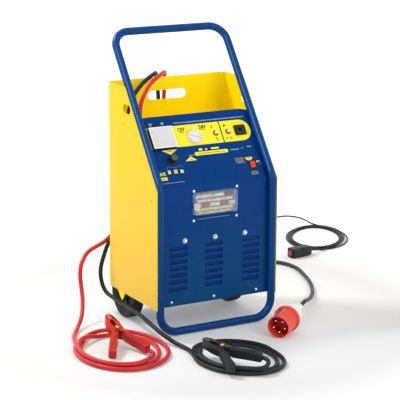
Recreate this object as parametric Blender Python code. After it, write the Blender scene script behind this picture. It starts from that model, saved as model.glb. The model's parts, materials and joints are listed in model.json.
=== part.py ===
"""Wheeled battery charger and engine starter: a sheet steel case on a bent tube
frame with two wheels, battery leads with clamps, a mains lead with a round
five-pin plug, and a wired remote switch.

Metres, +Z up, +X to the right seen from the front, +Y to the back.
Inside this file Y is measured from the middle of the front tubes; one empty
shifts everything so that the object's origin is under the middle of the body.
"""

import math

import bmesh
import bpy
from mathutils import Matrix, Vector
from mathutils.geometry import tessellate_polygon

# ---------------------------------------------------------------- dimensions
BODY_MID_Y = 0.1615          # front tubes' centre plane to the middle of the body

TUBE_R = 0.0125              # 25 mm steel tube
FRAME_X = 0.200              # tube centres, left and right
BEND_Z = 0.468               # where the frame leans back
TOP_Y, TOP_Z = 0.323, 0.909  # the push handle's centre line
LOW_CORNER, TOP_CORNER, FRAME_FOLD = 0.060, 0.055, 0.080

CASE_X = 0.2145              # outer half width of the yellow case
CASE_T = 0.0017
CASE_BACK = 0.332
CASE_LOW, CASE_TOP = 0.089, 0.755
CASE_BEND = 0.018
CASE_FRONT = -0.006

PANEL_X = 0.2108
PANEL_T = 0.0015
PANEL_Y = 0.013              # front face of the upright panel
PANEL_LOW = 0.0925
PANEL_V_TOP = 0.251          # length of the leaning panel above the frame's bend
PANEL_CORNER = 0.045

TRAY_Z = 0.600
TRAY_FRONT, TRAY_LIP = 0.175, 0.655

WHEEL_R, WHEEL_W = 0.080, 0.038
WHEEL_X, AXLE_Y, AXLE_Z, AXLE_R = 0.187, 0.247, 0.080, 0.008
HUB_R = 0.050

LEAD_D = 0.0135              # battery leads
MAINS_D = 0.013
REMOTE_D = 0.0055

CLAMP_HANDLE, CLAMP_SPLAY, CLAMP_JAW = 0.124, math.radians(27.0), 0.088

GAP = 0.0003

# the leaning panel's own axes
_lean = Vector((0.0, TOP_Y, TOP_Z - BEND_Z)).normalized()      # up the slope
_out = Vector((0.0, -_lean.z, _lean.y))                         # out of the panel
LEAN_ANGLE = math.atan2(_lean.z, _lean.y)
PANEL_ORIGIN = Vector((0.0, 0.0, BEND_Z)) - _out * PANEL_Y

# ---------------------------------------------------------------- clean start
for _o in list(bpy.data.objects):
    bpy.data.objects.remove(_o, do_unlink=True)


# ---------------------------------------------------------------- materials
def material(name, colour, rough=0.5, metal=0.0):
    m = bpy.data.materials.get(name)
    if m is None:
        m = bpy.data.materials.new(name)
        m.use_nodes = True
        b = m.node_tree.nodes["Principled BSDF"]
        b.inputs["Base Color"].default_value = (*colour, 1.0)
        b.inputs["Roughness"].default_value = rough
        b.inputs["Metallic"].default_value = metal
        m.diffuse_color = (*colour, 1.0)
    return m


BLUE = ("frame_blue", (0.006, 0.045, 0.21), 0.32)
YELLOW = ("case_yellow", (0.90, 0.60, 0.01), 0.36)
BLACK_PLASTIC = ("black_plastic", (0.012, 0.012, 0.013), 0.45)
GREY_PLASTIC = ("grey_plastic", (0.10, 0.10, 0.11), 0.5)
WHITE_PLASTIC = ("white_plastic", (0.80, 0.79, 0.74), 0.35)
RED_PLASTIC = ("red_plastic", (0.62, 0.02, 0.012), 0.35)
STEEL = ("zinc_steel", (0.62, 0.63, 0.65), 0.3, 1.0)
IRON = ("laminated_iron", (0.16, 0.16, 0.17), 0.5, 0.8)
COPPER = ("winding_copper", (0.55, 0.22, 0.08), 0.4, 0.9)
ALU = ("aluminium", (0.72, 0.73, 0.74), 0.35, 1.0)
RUBBER = ("tyre_rubber", (0.015, 0.015, 0.016), 0.8)
BOARD = ("circuit_board", (0.02, 0.18, 0.06), 0.5)
CLEAR = ("clear_cover", (0.80, 0.85, 0.88), 0.08)
RED_RUBBER = ("red_lead", (0.60, 0.02, 0.02), 0.45)
BLACK_RUBBER = ("black_lead", (0.015, 0.017, 0.016), 0.5)


# ---------------------------------------------------------------- scene tree
def empty(name, parent=None, matrix=None):
    e = bpy.data.objects.new(name, None)
    bpy.context.scene.collection.objects.link(e)
    if parent is not None:
        e.parent = parent
    if matrix is not None:
        e.matrix_local = matrix
    return e


ROOT = empty("charger", None, Matrix.Translation((0.0, -BODY_MID_Y, 0.0)))
PANEL = empty(
    "leaning_panel_axes",
    ROOT,
    Matrix.Translation(PANEL_ORIGIN) @ Matrix.Rotation(LEAN_ANGLE, 4, "X"),
)


def place(data, name, mat, parent=None, loc=(0, 0, 0), rot=None, matrix=None):
    o = bpy.data.objects.new(name, data)
    bpy.context.scene.collection.objects.link(o)
    data.materials.clear()
    data.materials.append(material(*mat))
    o.parent = ROOT if parent is None else parent
    if matrix is not None:
        o.matrix_local = matrix
    else:
        o.location = loc
        if rot is not None:
            o.rotation_euler = rot
    return o


def finish(bm, name, mat, parent=None, loc=(0, 0, 0), rot=None, matrix=None, smooth=None):
    bmesh.ops.recalc_face_normals(bm, faces=bm.faces)
    me = bpy.data.meshes.new(name)
    bm.to_mesh(me)
    bm.free()
    if smooth:
        me.shade_smooth()
        me.set_sharp_from_angle(angle=math.radians(smooth))
    return place(me, name, mat, parent, loc, rot, matrix)


def guide(bm, name, parent=None, loc=(0, 0, 0), rot=None):
    """A hidden solid that another object cuts itself with or is joined to."""
    o = finish(bm, name, GREY_PLASTIC, parent, loc, rot)
    o.hide_render = True
    o.display_type = "WIRE"
    return o


def combine(obj, tool, operation, crossing=False):
    m = obj.modifiers.new(tool.name, "BOOLEAN")
    m.operation = operation
    m.solver = "EXACT"
    m.use_self = crossing
    m.object = tool
    return obj


# ---------------------------------------------------------------- mesh makers
def rounded(points, closed, radii, steps=4):
    """A polyline with its corners turned into arcs."""
    pts = [Vector(p) for p in points]
    n = len(pts)
    out = []
    for i, p in enumerate(pts):
        r = radii[i] if isinstance(radii, (list, tuple)) else radii
        if (not closed and i in (0, n - 1)) or r == 0:
            out.append(p.copy())
            continue
        a = (pts[i - 1] - p).normalized()
        b = (pts[(i + 1) % n] - p).normalized()
        half = math.acos(max(-1.0, min(1.0, a.dot(b)))) / 2
        t = r / math.tan(half)
        centre = p + (a + b).normalized() * (r / math.sin(half))
        s = p + a * t - centre
        e = p + b * t - centre
        sweep = math.acos(max(-1.0, min(1.0, s.normalized().dot(e.normalized()))))
        for k in range(steps + 1):
            f = k / steps
            w0 = math.sin((1 - f) * sweep) / math.sin(sweep)
            w1 = math.sin(f * sweep) / math.sin(sweep)
            out.append(centre + s * w0 + e * w1)
    return out


def outline(points, radius=0.0, steps=3):
    """A closed 2-D outline with rounded corners."""
    r = rounded([(x, y, 0.0) for x, y in points], True, radius, steps)
    return [(p.x, p.y) for p in r]


def circle(x, y, r, n=12, turn=0.0):
    return [
        (x + r * math.cos(turn + 2 * math.pi * k / n), y + r * math.sin(turn + 2 * math.pi * k / n))
        for k in range(n)
    ]


def rectangle(x0, x1, y0, y1):
    return [(x0, y0), (x1, y0), (x1, y1), (x0, y1)]


def stadium(x, y, half, r, steps=6):
    """A slot with round ends, lying along the first axis."""
    pts = []
    for k in range(steps + 1):
        a = -math.pi / 2 + math.pi * k / steps
        pts.append((x + half - r + r * math.cos(a), y + r * math.sin(a)))
    for k in range(steps + 1):
        a = math.pi / 2 + math.pi * k / steps
        pts.append((x - half + r + r * math.cos(a), y + r * math.sin(a)))
    return pts


def sheet(regions, skin_a, skin_b):
    """A closed solid between two skins over flat regions with holes.
    Regions that share an edge share its two corners."""
    bm = bmesh.new()
    verts = {}

    def vert(skin, p):
        key = (skin, round(p[0], 6), round(p[1], 6))
        if key not in verts:
            verts[key] = bm.verts.new((skin_a if skin == "a" else skin_b)(p[0], p[1]))
        return verts[key]

    edges = set()
    for outer, holes in regions:
        loops = [outer, *holes]
        flat = [p for loop in loops for p in loop]
        tris = tessellate_polygon([[Vector((p[0], p[1], 0.0)) for p in loop] for loop in loops])
        for t in tris:
            a, b, c = (flat[i] for i in t)
            area = (b[0] - a[0]) * (c[1] - a[1]) - (b[1] - a[1]) * (c[0] - a[0])
            if abs(area) < 1e-12:
                continue
            if area < 0:
                b, c = c, b
            bm.faces.new([vert("a", a), vert("a", b), vert("a", c)])
            bm.faces.new([vert("b", c), vert("b", b), vert("b", a)])
            for e in ((a, b), (b, c), (c, a)):
                edges.add(tuple((round(q[0], 6), round(q[1], 6)) for q in e))
    for p, q in edges:
        if (q, p) not in edges:
            bm.faces.new([vert("a", q), vert("a", p), vert("b", p), vert("b", q)])
    return bm


def prism(loop, low, high, axis="z", holes=()):
    """An outline extruded along an axis. The outline's two axes follow it in order:
    z: (x, y); y: (x, z); x: (y, z)."""
    put = {
        "z": lambda u, v, w: (u, v, w),
        "y": lambda u, v, w: (u, w, v),
        "x": lambda u, v, w: (w, u, v),
    }[axis]
    return sheet(
        [(loop, list(holes))],
        lambda u, v: put(u, v, high),
        lambda u, v: put(u, v, low),
    )


def block(x0, x1, y0, y1, z0, z1):
    return prism(rectangle(x0, x1, y0, y1), z0, z1)


def turned(profile, n=24, ring=False, axis="z"):
    """A profile of (radius, height) turned round an axis. A ring's profile is a closed
    loop; any other starts and ends on the axis."""
    put = {
        "z": lambda r, a, h: (r * math.cos(a), r * math.sin(a), h),
        "x": lambda r, a, h: (h, r * math.cos(a), r * math.sin(a)),
        "y": lambda r, a, h: (r * math.sin(a), h, r * math.cos(a)),
    }[axis]
    bm = bmesh.new()
    rows = []
    for r, h in profile:
        if r < 1e-9:
            rows.append([bm.verts.new(put(0.0, 0.0, h))])
        else:
            rows.append([bm.verts.new(put(r, 2 * math.pi * k / n, h)) for k in range(n)])
    pairs = list(zip(rows, rows[1:]))
    if ring:
        pairs.append((rows[-1], rows[0]))
    for low, high in pairs:
        for k in range(n):
            j = (k + 1) % n
            if len(low) == 1:
                bm.faces.new([low[0], high[k], high[j]])
            elif len(high) == 1:
                bm.faces.new([low[k], high[0], low[j]])
            else:
                bm.faces.new([low[k], high[k], high[j], low[j]])
    return bm


def merge(*parts):
    """Several solids in one mesh, for a guide."""
    bm = bmesh.new()
    for part in parts:
        me = bpy.data.meshes.new("part")
        part.to_mesh(me)
        part.free()
        bm.from_mesh(me)
        bpy.data.meshes.remove(me)
    return bm


def smooth_route(points, count):
    """Evenly spaced points on a smooth curve through the route's own points."""
    p = [Vector(q) for q in points]
    p = [p[0] * 2 - p[1], *p, p[-1] * 2 - p[-2]]
    dense = []
    for i in range(1, len(p) - 2):
        t = [0.0]
        for a, b in zip(p[i - 1:i + 2], p[i:i + 3]):
            t.append(t[-1] + max((b - a).length, 1e-6) ** 0.5)
        for k in range(24):
            u = t[1] + (t[2] - t[1]) * k / 24
            a1 = p[i - 1] * ((t[1] - u) / (t[1] - t[0])) + p[i] * ((u - t[0]) / (t[1] - t[0]))
            a2 = p[i] * ((t[2] - u) / (t[2] - t[1])) + p[i + 1] * ((u - t[1]) / (t[2] - t[1]))
            a3 = p[i + 1] * ((t[3] - u) / (t[3] - t[2])) + p[i + 2] * ((u - t[2]) / (t[3] - t[2]))
            b1 = a1 * ((t[2] - u) / (t[2] - t[0])) + a2 * ((u - t[0]) / (t[2] - t[0]))
            b2 = a2 * ((t[3] - u) / (t[3] - t[1])) + a3 * ((u - t[1]) / (t[3] - t[1]))
            dense.append(b1 * ((t[2] - u) / (t[2] - t[1])) + b2 * ((u - t[1]) / (t[2] - t[1])))
    dense.append(p[-2])
    lengths = [0.0]
    for a, b in zip(dense, dense[1:]):
        lengths.append(lengths[-1] + (b - a).length)
    out = []
    j = 0
    for k in range(count):
        want = lengths[-1] * k / (count - 1)
        while j < len(lengths) - 2 and lengths[j + 1] < want:
            j += 1
        span = max(lengths[j + 1] - lengths[j], 1e-9)
        out.append(dense[j].lerp(dense[j + 1], (want - lengths[j]) / span))
    # the first and last centimetre are straight, so that the ends are square
    first, last = (p[2] - p[1]).normalized(), (p[-3] - p[-2]).normalized()
    out[0], out[-1] = p[1].copy(), p[-2].copy()
    out.insert(1, p[1] + first * 0.010)
    out.insert(len(out) - 1, p[-2] + last * 0.010)
    low = min(q[2] for q in points)
    for q in out:
        q.z = max(q.z, low)
    return out


def tube(name, points, diameter, mat, sides=2, cyclic=False):
    cu = bpy.data.curves.new(name, "CURVE")
    cu.dimensions = "3D"
    cu.bevel_depth = diameter / 2
    cu.bevel_resolution = sides
    cu.use_fill_caps = not cyclic
    cu.twist_mode = "MINIMUM"
    s = cu.splines.new("POLY")
    s.points.add(len(points) - 1)
    for q, p in zip(s.points, points):
        q.co = (p[0], p[1], p[2], 1.0)
    s.use_cyclic_u = cyclic
    return place(cu, name, mat)


def coil_ring(name, outer, inner, height, mat, n=36):
    """The outer shape of a coil that lies on the floor: a turned ring, a little oval."""
    def at(e, a):
        cx, cy, ea, eb, tilt = e
        u, w = ea * math.cos(a), eb * math.sin(a)
        return (
            cx + u * math.cos(tilt) - w * math.sin(tilt),
            cy + u * math.sin(tilt) + w * math.cos(tilt),
        )
    low = 0.0006
    bm = bmesh.new()
    rings = []
    for k in range(n):
        a = 2 * math.pi * k / n
        o, i = Vector(at(outer, a)), Vector(at(inner, a))
        row = []
        for f, h in ((0.0, 0.35), (0.12, 0.0), (0.88, 0.0), (1.0, 0.35), (1.0, 0.70), (0.86, 1.0), (0.14, 1.0), (0.0, 0.70)):
            q = i.lerp(o, f)
            row.append(bm.verts.new((q.x, q.y, low + (height - low) * h)))
        rings.append(row)
    for k in range(n):
        a, b = rings[k], rings[(k + 1) % n]
        for j in range(8):
            i = (j + 1) % 8
            bm.faces.new([a[j], a[i], b[i], b[j]])
    return finish(bm, name, mat, smooth=50)


# ================================================================ tube frame
frame_path = rounded(
    [
        (-FRAME_X, 0, TUBE_R), (FRAME_X, 0, TUBE_R), (FRAME_X, 0, BEND_Z),
        (FRAME_X, TOP_Y, TOP_Z), (-FRAME_X, TOP_Y, TOP_Z), (-FRAME_X, 0, BEND_Z),
    ],
    True,
    [LOW_CORNER, LOW_CORNER, FRAME_FOLD, TOP_CORNER, TOP_CORNER, FRAME_FOLD],
    5,
)
tube("tube_frame", frame_path, 2 * TUBE_R, BLUE, sides=4, cyclic=True)

# ================================================================ yellow case
side_len = CASE_BACK - CASE_BEND - CASE_FRONT         # front edge to the back bend
bend_len = CASE_BEND * math.pi / 2
back_len = 2 * (CASE_X - CASE_BEND)
lean_off = _out * 0.003 + Vector((0, 0, BEND_Z))
fold_z = lean_off.z + _lean.z * (CASE_FRONT - lean_off.y) / _lean.y
top_y = lean_off.y + _lean.y * (CASE_TOP - lean_off.z) / _lean.z


def case_skin(radius, x_out, y_out):
    def at(u, z):
        if u <= side_len:
            return (-x_out, CASE_FRONT + u, z)
        u -= side_len
        if u <= bend_len:
            a = u / bend_len * math.pi / 2
            return (-(CASE_X - CASE_BEND) - radius * math.cos(a), CASE_BACK - CASE_BEND + radius * math.sin(a), z)
        u -= bend_len
        if u <= back_len:
            return (-(CASE_X - CASE_BEND) + u, y_out, z)
        u -= back_len
        if u <= bend_len:
            a = math.pi / 2 - u / bend_len * math.pi / 2
            return ((CASE_X - CASE_BEND) + radius * math.cos(a), CASE_BACK - CASE_BEND + radius * math.sin(a), z)
        u -= bend_len
        return (x_out, CASE_BACK - CASE_BEND - u, z)
    return at


u1 = side_len
u2 = u1 + bend_len
u3 = u2 + back_len
u4 = u3 + bend_len
u5 = u4 + side_len
slot_y, slot_z = 0.195, 0.6875
left = [(0, CASE_LOW), (u1, CASE_LOW), (u1, CASE_TOP), (top_y - CASE_FRONT, CASE_TOP), (0, fold_z)]
right = [(u4, CASE_LOW), (u5, CASE_LOW), (u5, fold_z), (u5 - (top_y - CASE_FRONT), CASE_TOP), (u4, CASE_TOP)]
back_holes = [stadium(u2 + back_len / 2, 0.69675, 0.070, 0.01575)]
back_x = lambda x: u2 + back_len / 2 + x
for k in range(7):
    z = 0.3775 + 0.0142 * k
    back_holes.append(rectangle(back_x(-0.046), back_x(0.046), z - 0.0028, z + 0.0028))
back_holes.append(circle(back_x(0.120), 0.160, 0.0104, 12))
back_holes.append(circle(back_x(0.170), 0.200, 0.0066, 10))
regions = [
    (left, [stadium(slot_y - CASE_FRONT, slot_z, 0.026, 0.015)]),
    (rectangle(u2, u3, CASE_LOW, CASE_TOP), back_holes),
    (right, [stadium(u5 - (slot_y - CASE_FRONT), slot_z, 0.026, 0.015)]),
]
for start in (u1, u3):
    for k in range(4):
        a, b = start + bend_len * k / 4, start + bend_len * (k + 1) / 4
        regions.append((rectangle(a, b, CASE_LOW, CASE_TOP), []))
finish(
    sheet(regions, case_skin(CASE_BEND, CASE_X, CASE_BACK), case_skin(CASE_BEND - CASE_T, CASE_X - CASE_T, CASE_BACK - CASE_T)),
    "case_shell", YELLOW,
)

# ================================================================ blue panel
slope0 = (PANEL_Y - PANEL_ORIGIN.y) / _lean.y          # where the fold is
fold_at = PANEL_ORIGIN.z + _lean.z * slope0
upright = fold_at - PANEL_LOW
q_fold = upright
q_top = upright + PANEL_V_TOP - slope0
LIP, TOP_LIP = 0.014, 0.012
inner_fold_v = (PANEL_Y + PANEL_T - PANEL_ORIGIN.y + PANEL_T * _out.y) / _lean.y


def panel_front(x, q):
    if q < -1e-9:
        return (x, PANEL_Y - q, PANEL_LOW)
    if q <= q_fold + 1e-9:
        return (x, PANEL_Y, PANEL_LOW + q)
    v = slope0 + (min(q, q_top) - q_fold)
    p = PANEL_ORIGIN + _lean * v - _out * max(0.0, q - q_top)
    return (x, p.y, p.z)


def panel_back(x, q):
    if q < -1e-9:
        return (x, PANEL_Y - q, PANEL_LOW + PANEL_T)
    if q < 1e-9:
        return (x, PANEL_Y + PANEL_T, PANEL_LOW + PANEL_T)
    if q < q_fold - 1e-9:
        return (x, PANEL_Y + PANEL_T, PANEL_LOW + q)
    if q < q_fold + 1e-9:
        p = PANEL_ORIGIN - _out * PANEL_T + _lean * inner_fold_v
        return (x, p.y, p.z)
    v = slope0 + (min(q, q_top) - q_fold)
    if q >= q_top - 1e-9:
        v = PANEL_V_TOP - PANEL_T
    p = PANEL_ORIGIN + _lean * v - _out * (PANEL_T + max(0.0, q - q_top - PANEL_T))
    return (x, p.y, p.z)


def up(z):
    return z - PANEL_LOW


def lean(v):
    return q_fold + v - slope0


LOUVRE_COLS = (-0.130, -0.004, 0.130)
LOUVRE_ROWS = [0.1435 + 0.0216 * k for k in range(7)]
CORE_BOLTS = (-0.1075, 0.0, 0.1075)
CORE_BOLT_Z = 0.296
LOW_SCREWS = (-0.154, -0.0028, 0.152)
LOW_SCREW_Z = 0.104
WINDOW = (-0.068, 0.062, 0.367, 0.442)

holes = [rectangle(WINDOW[0], WINDOW[1], up(WINDOW[2]), up(WINDOW[3]))]
for k, cx in enumerate(LOUVRE_COLS):
    for z in LOUVRE_ROWS:
        low = up(z + 0.0004 * k - 0.0027)      # the columns step up a hair, so no three corners line up
        holes.append(rectangle(cx - 0.0315, cx + 0.0315, low, low + 0.0054))
for x in CORE_BOLTS:
    holes.append(circle(x, up(CORE_BOLT_Z), 0.0046, 8, math.pi / 8))
for x in LOW_SCREWS:
    holes.append(circle(x, up(LOW_SCREW_Z), 0.0026, 8, math.pi / 8))

METER = (-0.177, -0.0955, 0.138, 0.2097)
SELECTOR = (-0.023, 0.169)
TIMER = (-0.1237, 0.0991)
BUTTONS = ((0.0565, 0.175), (0.102, 0.176))
SOCKET = (0.1255, 0.1650, 0.1595, 0.1935)
ROCKER = (0.151, 0.0545)

lean_holes = [
    rectangle(METER[0] + 0.007, METER[1] - 0.007, lean(METER[2] + 0.008), lean(METER[3] - 0.008)),
    circle(SELECTOR[0], lean(SELECTOR[1]), 0.0037, 10),
    circle(TIMER[0], lean(TIMER[1]), 0.0037, 10),
    circle(BUTTONS[0][0], lean(BUTTONS[0][1]), 0.0058, 12),
    circle(BUTTONS[1][0], lean(BUTTONS[1][1]), 0.0058, 12),
    rectangle(SOCKET[0] + 0.0035, SOCKET[1] - 0.0035, lean(SOCKET[2] + 0.0035), lean(SOCKET[3] - 0.0035)),
    rectangle(ROCKER[0] - 0.0105, ROCKER[0] + 0.0105, lean(ROCKER[1] - 0.0128), lean(ROCKER[1] + 0.0128)),
]
# the panel is notched where the tubes' bends sit
NOTCH_X, NOTCH = 0.1865, 0.034
lean_outline = [
    (-PANEL_X, q_fold + NOTCH + 0.010), (-NOTCH_X, q_fold + NOTCH), (-NOTCH_X, q_fold),
    (NOTCH_X, q_fold), (NOTCH_X, q_fold + NOTCH), (PANEL_X, q_fold + NOTCH + 0.010),
]
cx, cq = PANEL_X - PANEL_CORNER, q_top - PANEL_CORNER
for k in range(6):
    a = math.pi / 2 * k / 5
    lean_outline.append((cx + PANEL_CORNER * math.cos(a), cq + PANEL_CORNER * math.sin(a)))
for k in range(6):
    a = math.pi / 2 + math.pi / 2 * k / 5
    lean_outline.append((-cx + PANEL_CORNER * math.cos(a), cq + PANEL_CORNER * math.sin(a)))
panel_regions = [
    (rectangle(-PANEL_X, PANEL_X, -LIP, 0.0), []),
    ([
        (-PANEL_X, 0.0), (PANEL_X, 0.0), (PANEL_X, q_fold - NOTCH - 0.010), (NOTCH_X, q_fold - NOTCH),
        (NOTCH_X, q_fold), (-NOTCH_X, q_fold), (-NOTCH_X, q_fold - NOTCH), (-PANEL_X, q_fold - NOTCH - 0.010),
    ], holes),
    (lean_outline, lean_holes),
    (rectangle(-cx, cx, q_top, q_top + TOP_LIP), []),
]
finish(sheet(panel_regions, panel_front, panel_back), "front_panel", BLUE)

# ================================================================ base and tray
finish(
    prism(
        [(-0.2102, 0.016), (0.2102, 0.016), (0.2102, 0.145), (0.165, 0.145), (0.165, 0.3295),
         (-0.165, 0.3295), (-0.165, 0.145), (-0.2102, 0.145)],
        0.0895, 0.0915,
    ),
    "base_plate", BLUE,
)

RED_GLAND = (-0.148, 0.235)
BLACK_GLAND = (-0.163, 0.283)
tray_t = 0.0015
tray_depth = 0.3298 - TRAY_FRONT


def tray_top(x, q):
    if q <= tray_depth - 1e-9:
        return (x, 0.3298 - q, TRAY_Z + tray_t)
    if q <= tray_depth + 1e-9:
        return (x, TRAY_FRONT + tray_t, TRAY_Z + tray_t)
    return (x, TRAY_FRONT + tray_t, TRAY_Z + q - tray_depth)


def tray_under(x, q):
    if q <= tray_depth + 1e-9:
        return (x, 0.3298 - q, TRAY_Z)
    return (x, TRAY_FRONT, TRAY_Z + q - tray_depth)


finish(
    sheet(
        [
            ([(-0.188, 0.0), (0.188, 0.0), (0.2105, 0.0225), (0.2105, tray_depth), (-0.2105, tray_depth), (-0.2105, 0.0225)],
             [circle(RED_GLAND[0], 0.3298 - RED_GLAND[1], 0.0094, 12), circle(BLACK_GLAND[0], 0.3298 - BLACK_GLAND[1], 0.0094, 12)]),
            (rectangle(-0.2105, 0.2105, tray_depth, tray_depth + TRAY_LIP - TRAY_Z), []),
        ],
        tray_top, tray_under,
    ),
    "tray_floor", YELLOW,
)

# ================================================================ inside
core_front, core_back = 0.060, 0.138
core_outline = [
    (-0.120, 0.0918), (-0.072, 0.0918), (-0.072, 0.100), (0.072, 0.100), (0.072, 0.0918), (0.120, 0.0918),
    (0.120, 0.316), (-0.120, 0.316),
]
finish(
    prism(
        core_outline, core_front, core_back, "y",
        [rectangle(-0.085, -0.025, 0.140, 0.276), rectangle(0.025, 0.085, 0.140, 0.276)]
        + [circle(x, CORE_BOLT_Z, 0.0046, 8, math.pi / 8) for x in CORE_BOLTS],
    ),
    "transformer_core", IRON,
)
for name, mid, half in (("winding_left", -0.1025, 0.0175), ("winding_centre", 0.0, 0.025), ("winding_right", 0.1025, 0.0175)):
    inner = rectangle(mid - half - 0.0006, mid + half + 0.0006, core_front - 0.0006, core_back + 0.0006)
    wall = 0.0225
    outer = outline(
        rectangle(mid - half - wall, mid + half + wall, core_front - wall, core_back + wall), 0.012, 2
    )
    finish(prism(outer, 0.146, 0.270, "z", [inner]), name, COPPER, smooth=40)

fins = [(-0.100, 0.060), (0.100, 0.060)]
n_fins = 10
for k in range(n_fins):
    x1 = 0.100 - k * (0.200 - 0.004) / (n_fins - 1)
    fins += [(x1, 0.138), (x1 - 0.004, 0.138)]
    if k < n_fins - 1:
        nx = 0.100 - (k + 1) * (0.200 - 0.004) / (n_fins - 1)
        fins += [(x1 - 0.004, 0.070), (nx, 0.070)]
fins = fins[:-1] + [(-0.100, 0.138)]
finish(prism(fins, 0.3165, 0.352, "z"), "rectifier_heatsink", ALU)

contactor = finish(block(-0.100, -0.030, 0.205, 0.285, 0.0918, 0.170), "contactor", GREY_PLASTIC)
combine(contactor, guide(merge(block(-0.092, -0.038, 0.200, 0.2251, 0.160, 0.192), block(-0.092, -0.038, 0.2649, 0.290, 0.160, 0.192)), "contactor_terminals"), "UNION")

board = finish(block(-0.060, 0.118, 0.088, 0.158, -0.0366, -0.035), "control_board", BOARD, PANEL)
posts = [block(x - 0.003, x + 0.003, v - 0.003, v + 0.003, -0.0360, -0.0018) for x in (-0.052, 0.110) for v in (0.096, 0.150)]
combine(board, guide(merge(*posts), "board_posts", PANEL), "UNION")

# fan behind the slots in the back
FAN_Z = 0.420
fan = finish(prism(outline(rectangle(-0.060, 0.060, FAN_Z - 0.060, FAN_Z + 0.060), 0.006, 2), 0.3045, 0.3298, "y", [circle(0, FAN_Z, 0.0565, 24)]), "fan_frame", BLACK_PLASTIC)
arms = [turned([(0, 0.3258), (0.021, 0.3258), (0.021, 0.3296), (0, 0.3296)], 16, axis="y")]
for k in range(3):
    a = math.radians(90 + 120 * k)
    d, s = Vector((math.cos(a), math.sin(a))), Vector((-math.sin(a), math.cos(a))) * 0.004
    ends = [d * 0.010 - s, d * 0.0578 - s, d * 0.0578 + s, d * 0.010 + s]
    arms.append(prism([(e.x, e.y + FAN_Z) for e in ends], 0.3262, 0.3294, "y"))
hub_disc = arms[0]
bmesh.ops.translate(hub_disc, vec=(0, 0, FAN_Z), verts=hub_disc.verts)
combine(fan, guide(merge(*arms), "fan_arms"), "UNION", crossing=True)
combine(fan, guide(prism(circle(0, FAN_Z, 0.0031, 16), 0.3200, 0.3340, "y"), "fan_bore"), "DIFFERENCE")

rotor = finish(turned([(0, -0.0185), (0.0195, -0.0185), (0.0205, -0.0170), (0.0205, 0.0), (0.0030, 0.0), (0.0030, 0.0034), (0, 0.0034)], 16, axis="y"), "fan_rotor", BLACK_PLASTIC, loc=(0, 0.3252, FAN_Z), smooth=40)
blades = []
for k in range(7):
    a = 2 * math.pi * k / 7
    w = []
    for r, lead, trail in ((0.0185, -0.0100, 0.0100), (0.0515, -0.0150, 0.0150)):
        for t, y in ((lead, -0.0160), (trail, -0.0030)):
            for th in (-0.0009, 0.0009):
                w.append(Vector((math.cos(a) * r - math.sin(a) * (t + th), y, math.sin(a) * r + math.cos(a) * (t + th))))
    bm = bmesh.new()
    vs = [bm.verts.new(q) for q in w]
    for f in ((0, 1, 3, 2), (4, 6, 7, 5), (0, 4, 5, 1), (2, 3, 7, 6), (0, 2, 6, 4), (1, 5, 7, 3)):
        bm.faces.new([vs[i] for i in f])
    bmesh.ops.recalc_face_normals(bm, faces=bm.faces)
    blades.append(bm)
combine(rotor, guide(merge(*blades), "fan_blades", rotor), "UNION")

# ================================================================ wheels
finish(prism(circle(AXLE_Y, AXLE_Z, AXLE_R, 16, math.pi / 16), -0.2101, 0.2101, "x"), "axle", STEEL, smooth=40)
lug = [(0.272, 0.140), (0.205, 0.140), (0.212, 0.095), (0.2335, 0.0625), (0.2370, 0.0600), (0.2405, 0.0610), (0.272, 0.092)]
for name, side in (("axle_bracket_left", -1), ("axle_bracket_right", 1)):
    finish(prism(lug, min(side * 0.2105, side * 0.2125), max(side * 0.2105, side * 0.2125), "x"), name, YELLOW)
hub_bore = AXLE_R / math.cos(math.pi / 24) + 0.00006
tyre = [(0.0508, -0.0150), (0.066, -0.0186), (0.0745, -0.0190), (0.0788, -0.0168), (0.080, -0.0135), (0.080, 0.0135), (0.0788, 0.0168), (0.0745, 0.0190), (0.066, 0.0186), (0.0508, 0.0150)]
hub = [
    (hub_bore, -0.0160), (0.017, -0.0160), (0.019, -0.0085), (0.043, -0.0085), (0.045, -0.0135), (0.0500, -0.0135),
    (0.0500, 0.0135), (0.045, 0.0135), (0.043, 0.0085), (0.019, 0.0085), (0.017, 0.0160), (hub_bore, 0.0160),
]
for tag, x in (("left", -WHEEL_X), ("right", WHEEL_X)):
    finish(turned(tyre, 32, True, "x"), "tyre_" + tag, RUBBER, loc=(x, AXLE_Y, AXLE_Z), smooth=50)
    finish(turned(hub, 24, True, "x"), "wheel_hub_" + tag, GREY_PLASTIC, loc=(x, AXLE_Y, AXLE_Z), smooth=50)

# ================================================================ fuse window
cover_out = outline(rectangle(-0.081, 0.073, 0.373, 0.445), 0.010, 2)
cover_in = outline(rectangle(-0.0795, 0.0715, 0.3745, 0.4435), 0.0085, 2)
cover = finish(prism(cover_out, -0.0030, PANEL_Y - GAP, "y"), "window_cover", CLEAR)
combine(cover, guide(prism(cover_in, -0.0015, PANEL_Y + 0.002, "y"), "window_cover_hollow"), "DIFFERENCE")
fuse = finish(block(-0.0665, 0.0605, 0.0178, 0.0350, 0.3720, 0.4380), "fuse_base", BLACK_PLASTIC)
combine(fuse, guide(merge(block(-0.0775, -0.0600, 0.0148, 0.0240, 0.3800, 0.4300), block(0.0550, 0.0715, 0.0148, 0.0240, 0.3800, 0.4300)), "fuse_ears"), "UNION")
link = finish(block(-0.0560, 0.0500, 0.0110, 0.0135, 0.4000, 0.4160), "fuse_link", STEEL)
combine(link, guide(merge(
    prism(circle(-0.044, 0.408, 0.0095, 12), 0.0055, 0.0175, "y"),
    prism(circle(0.038, 0.408, 0.0095, 12), 0.0055, 0.0175, "y"),
), "fuse_bolts"), "UNION")

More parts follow.
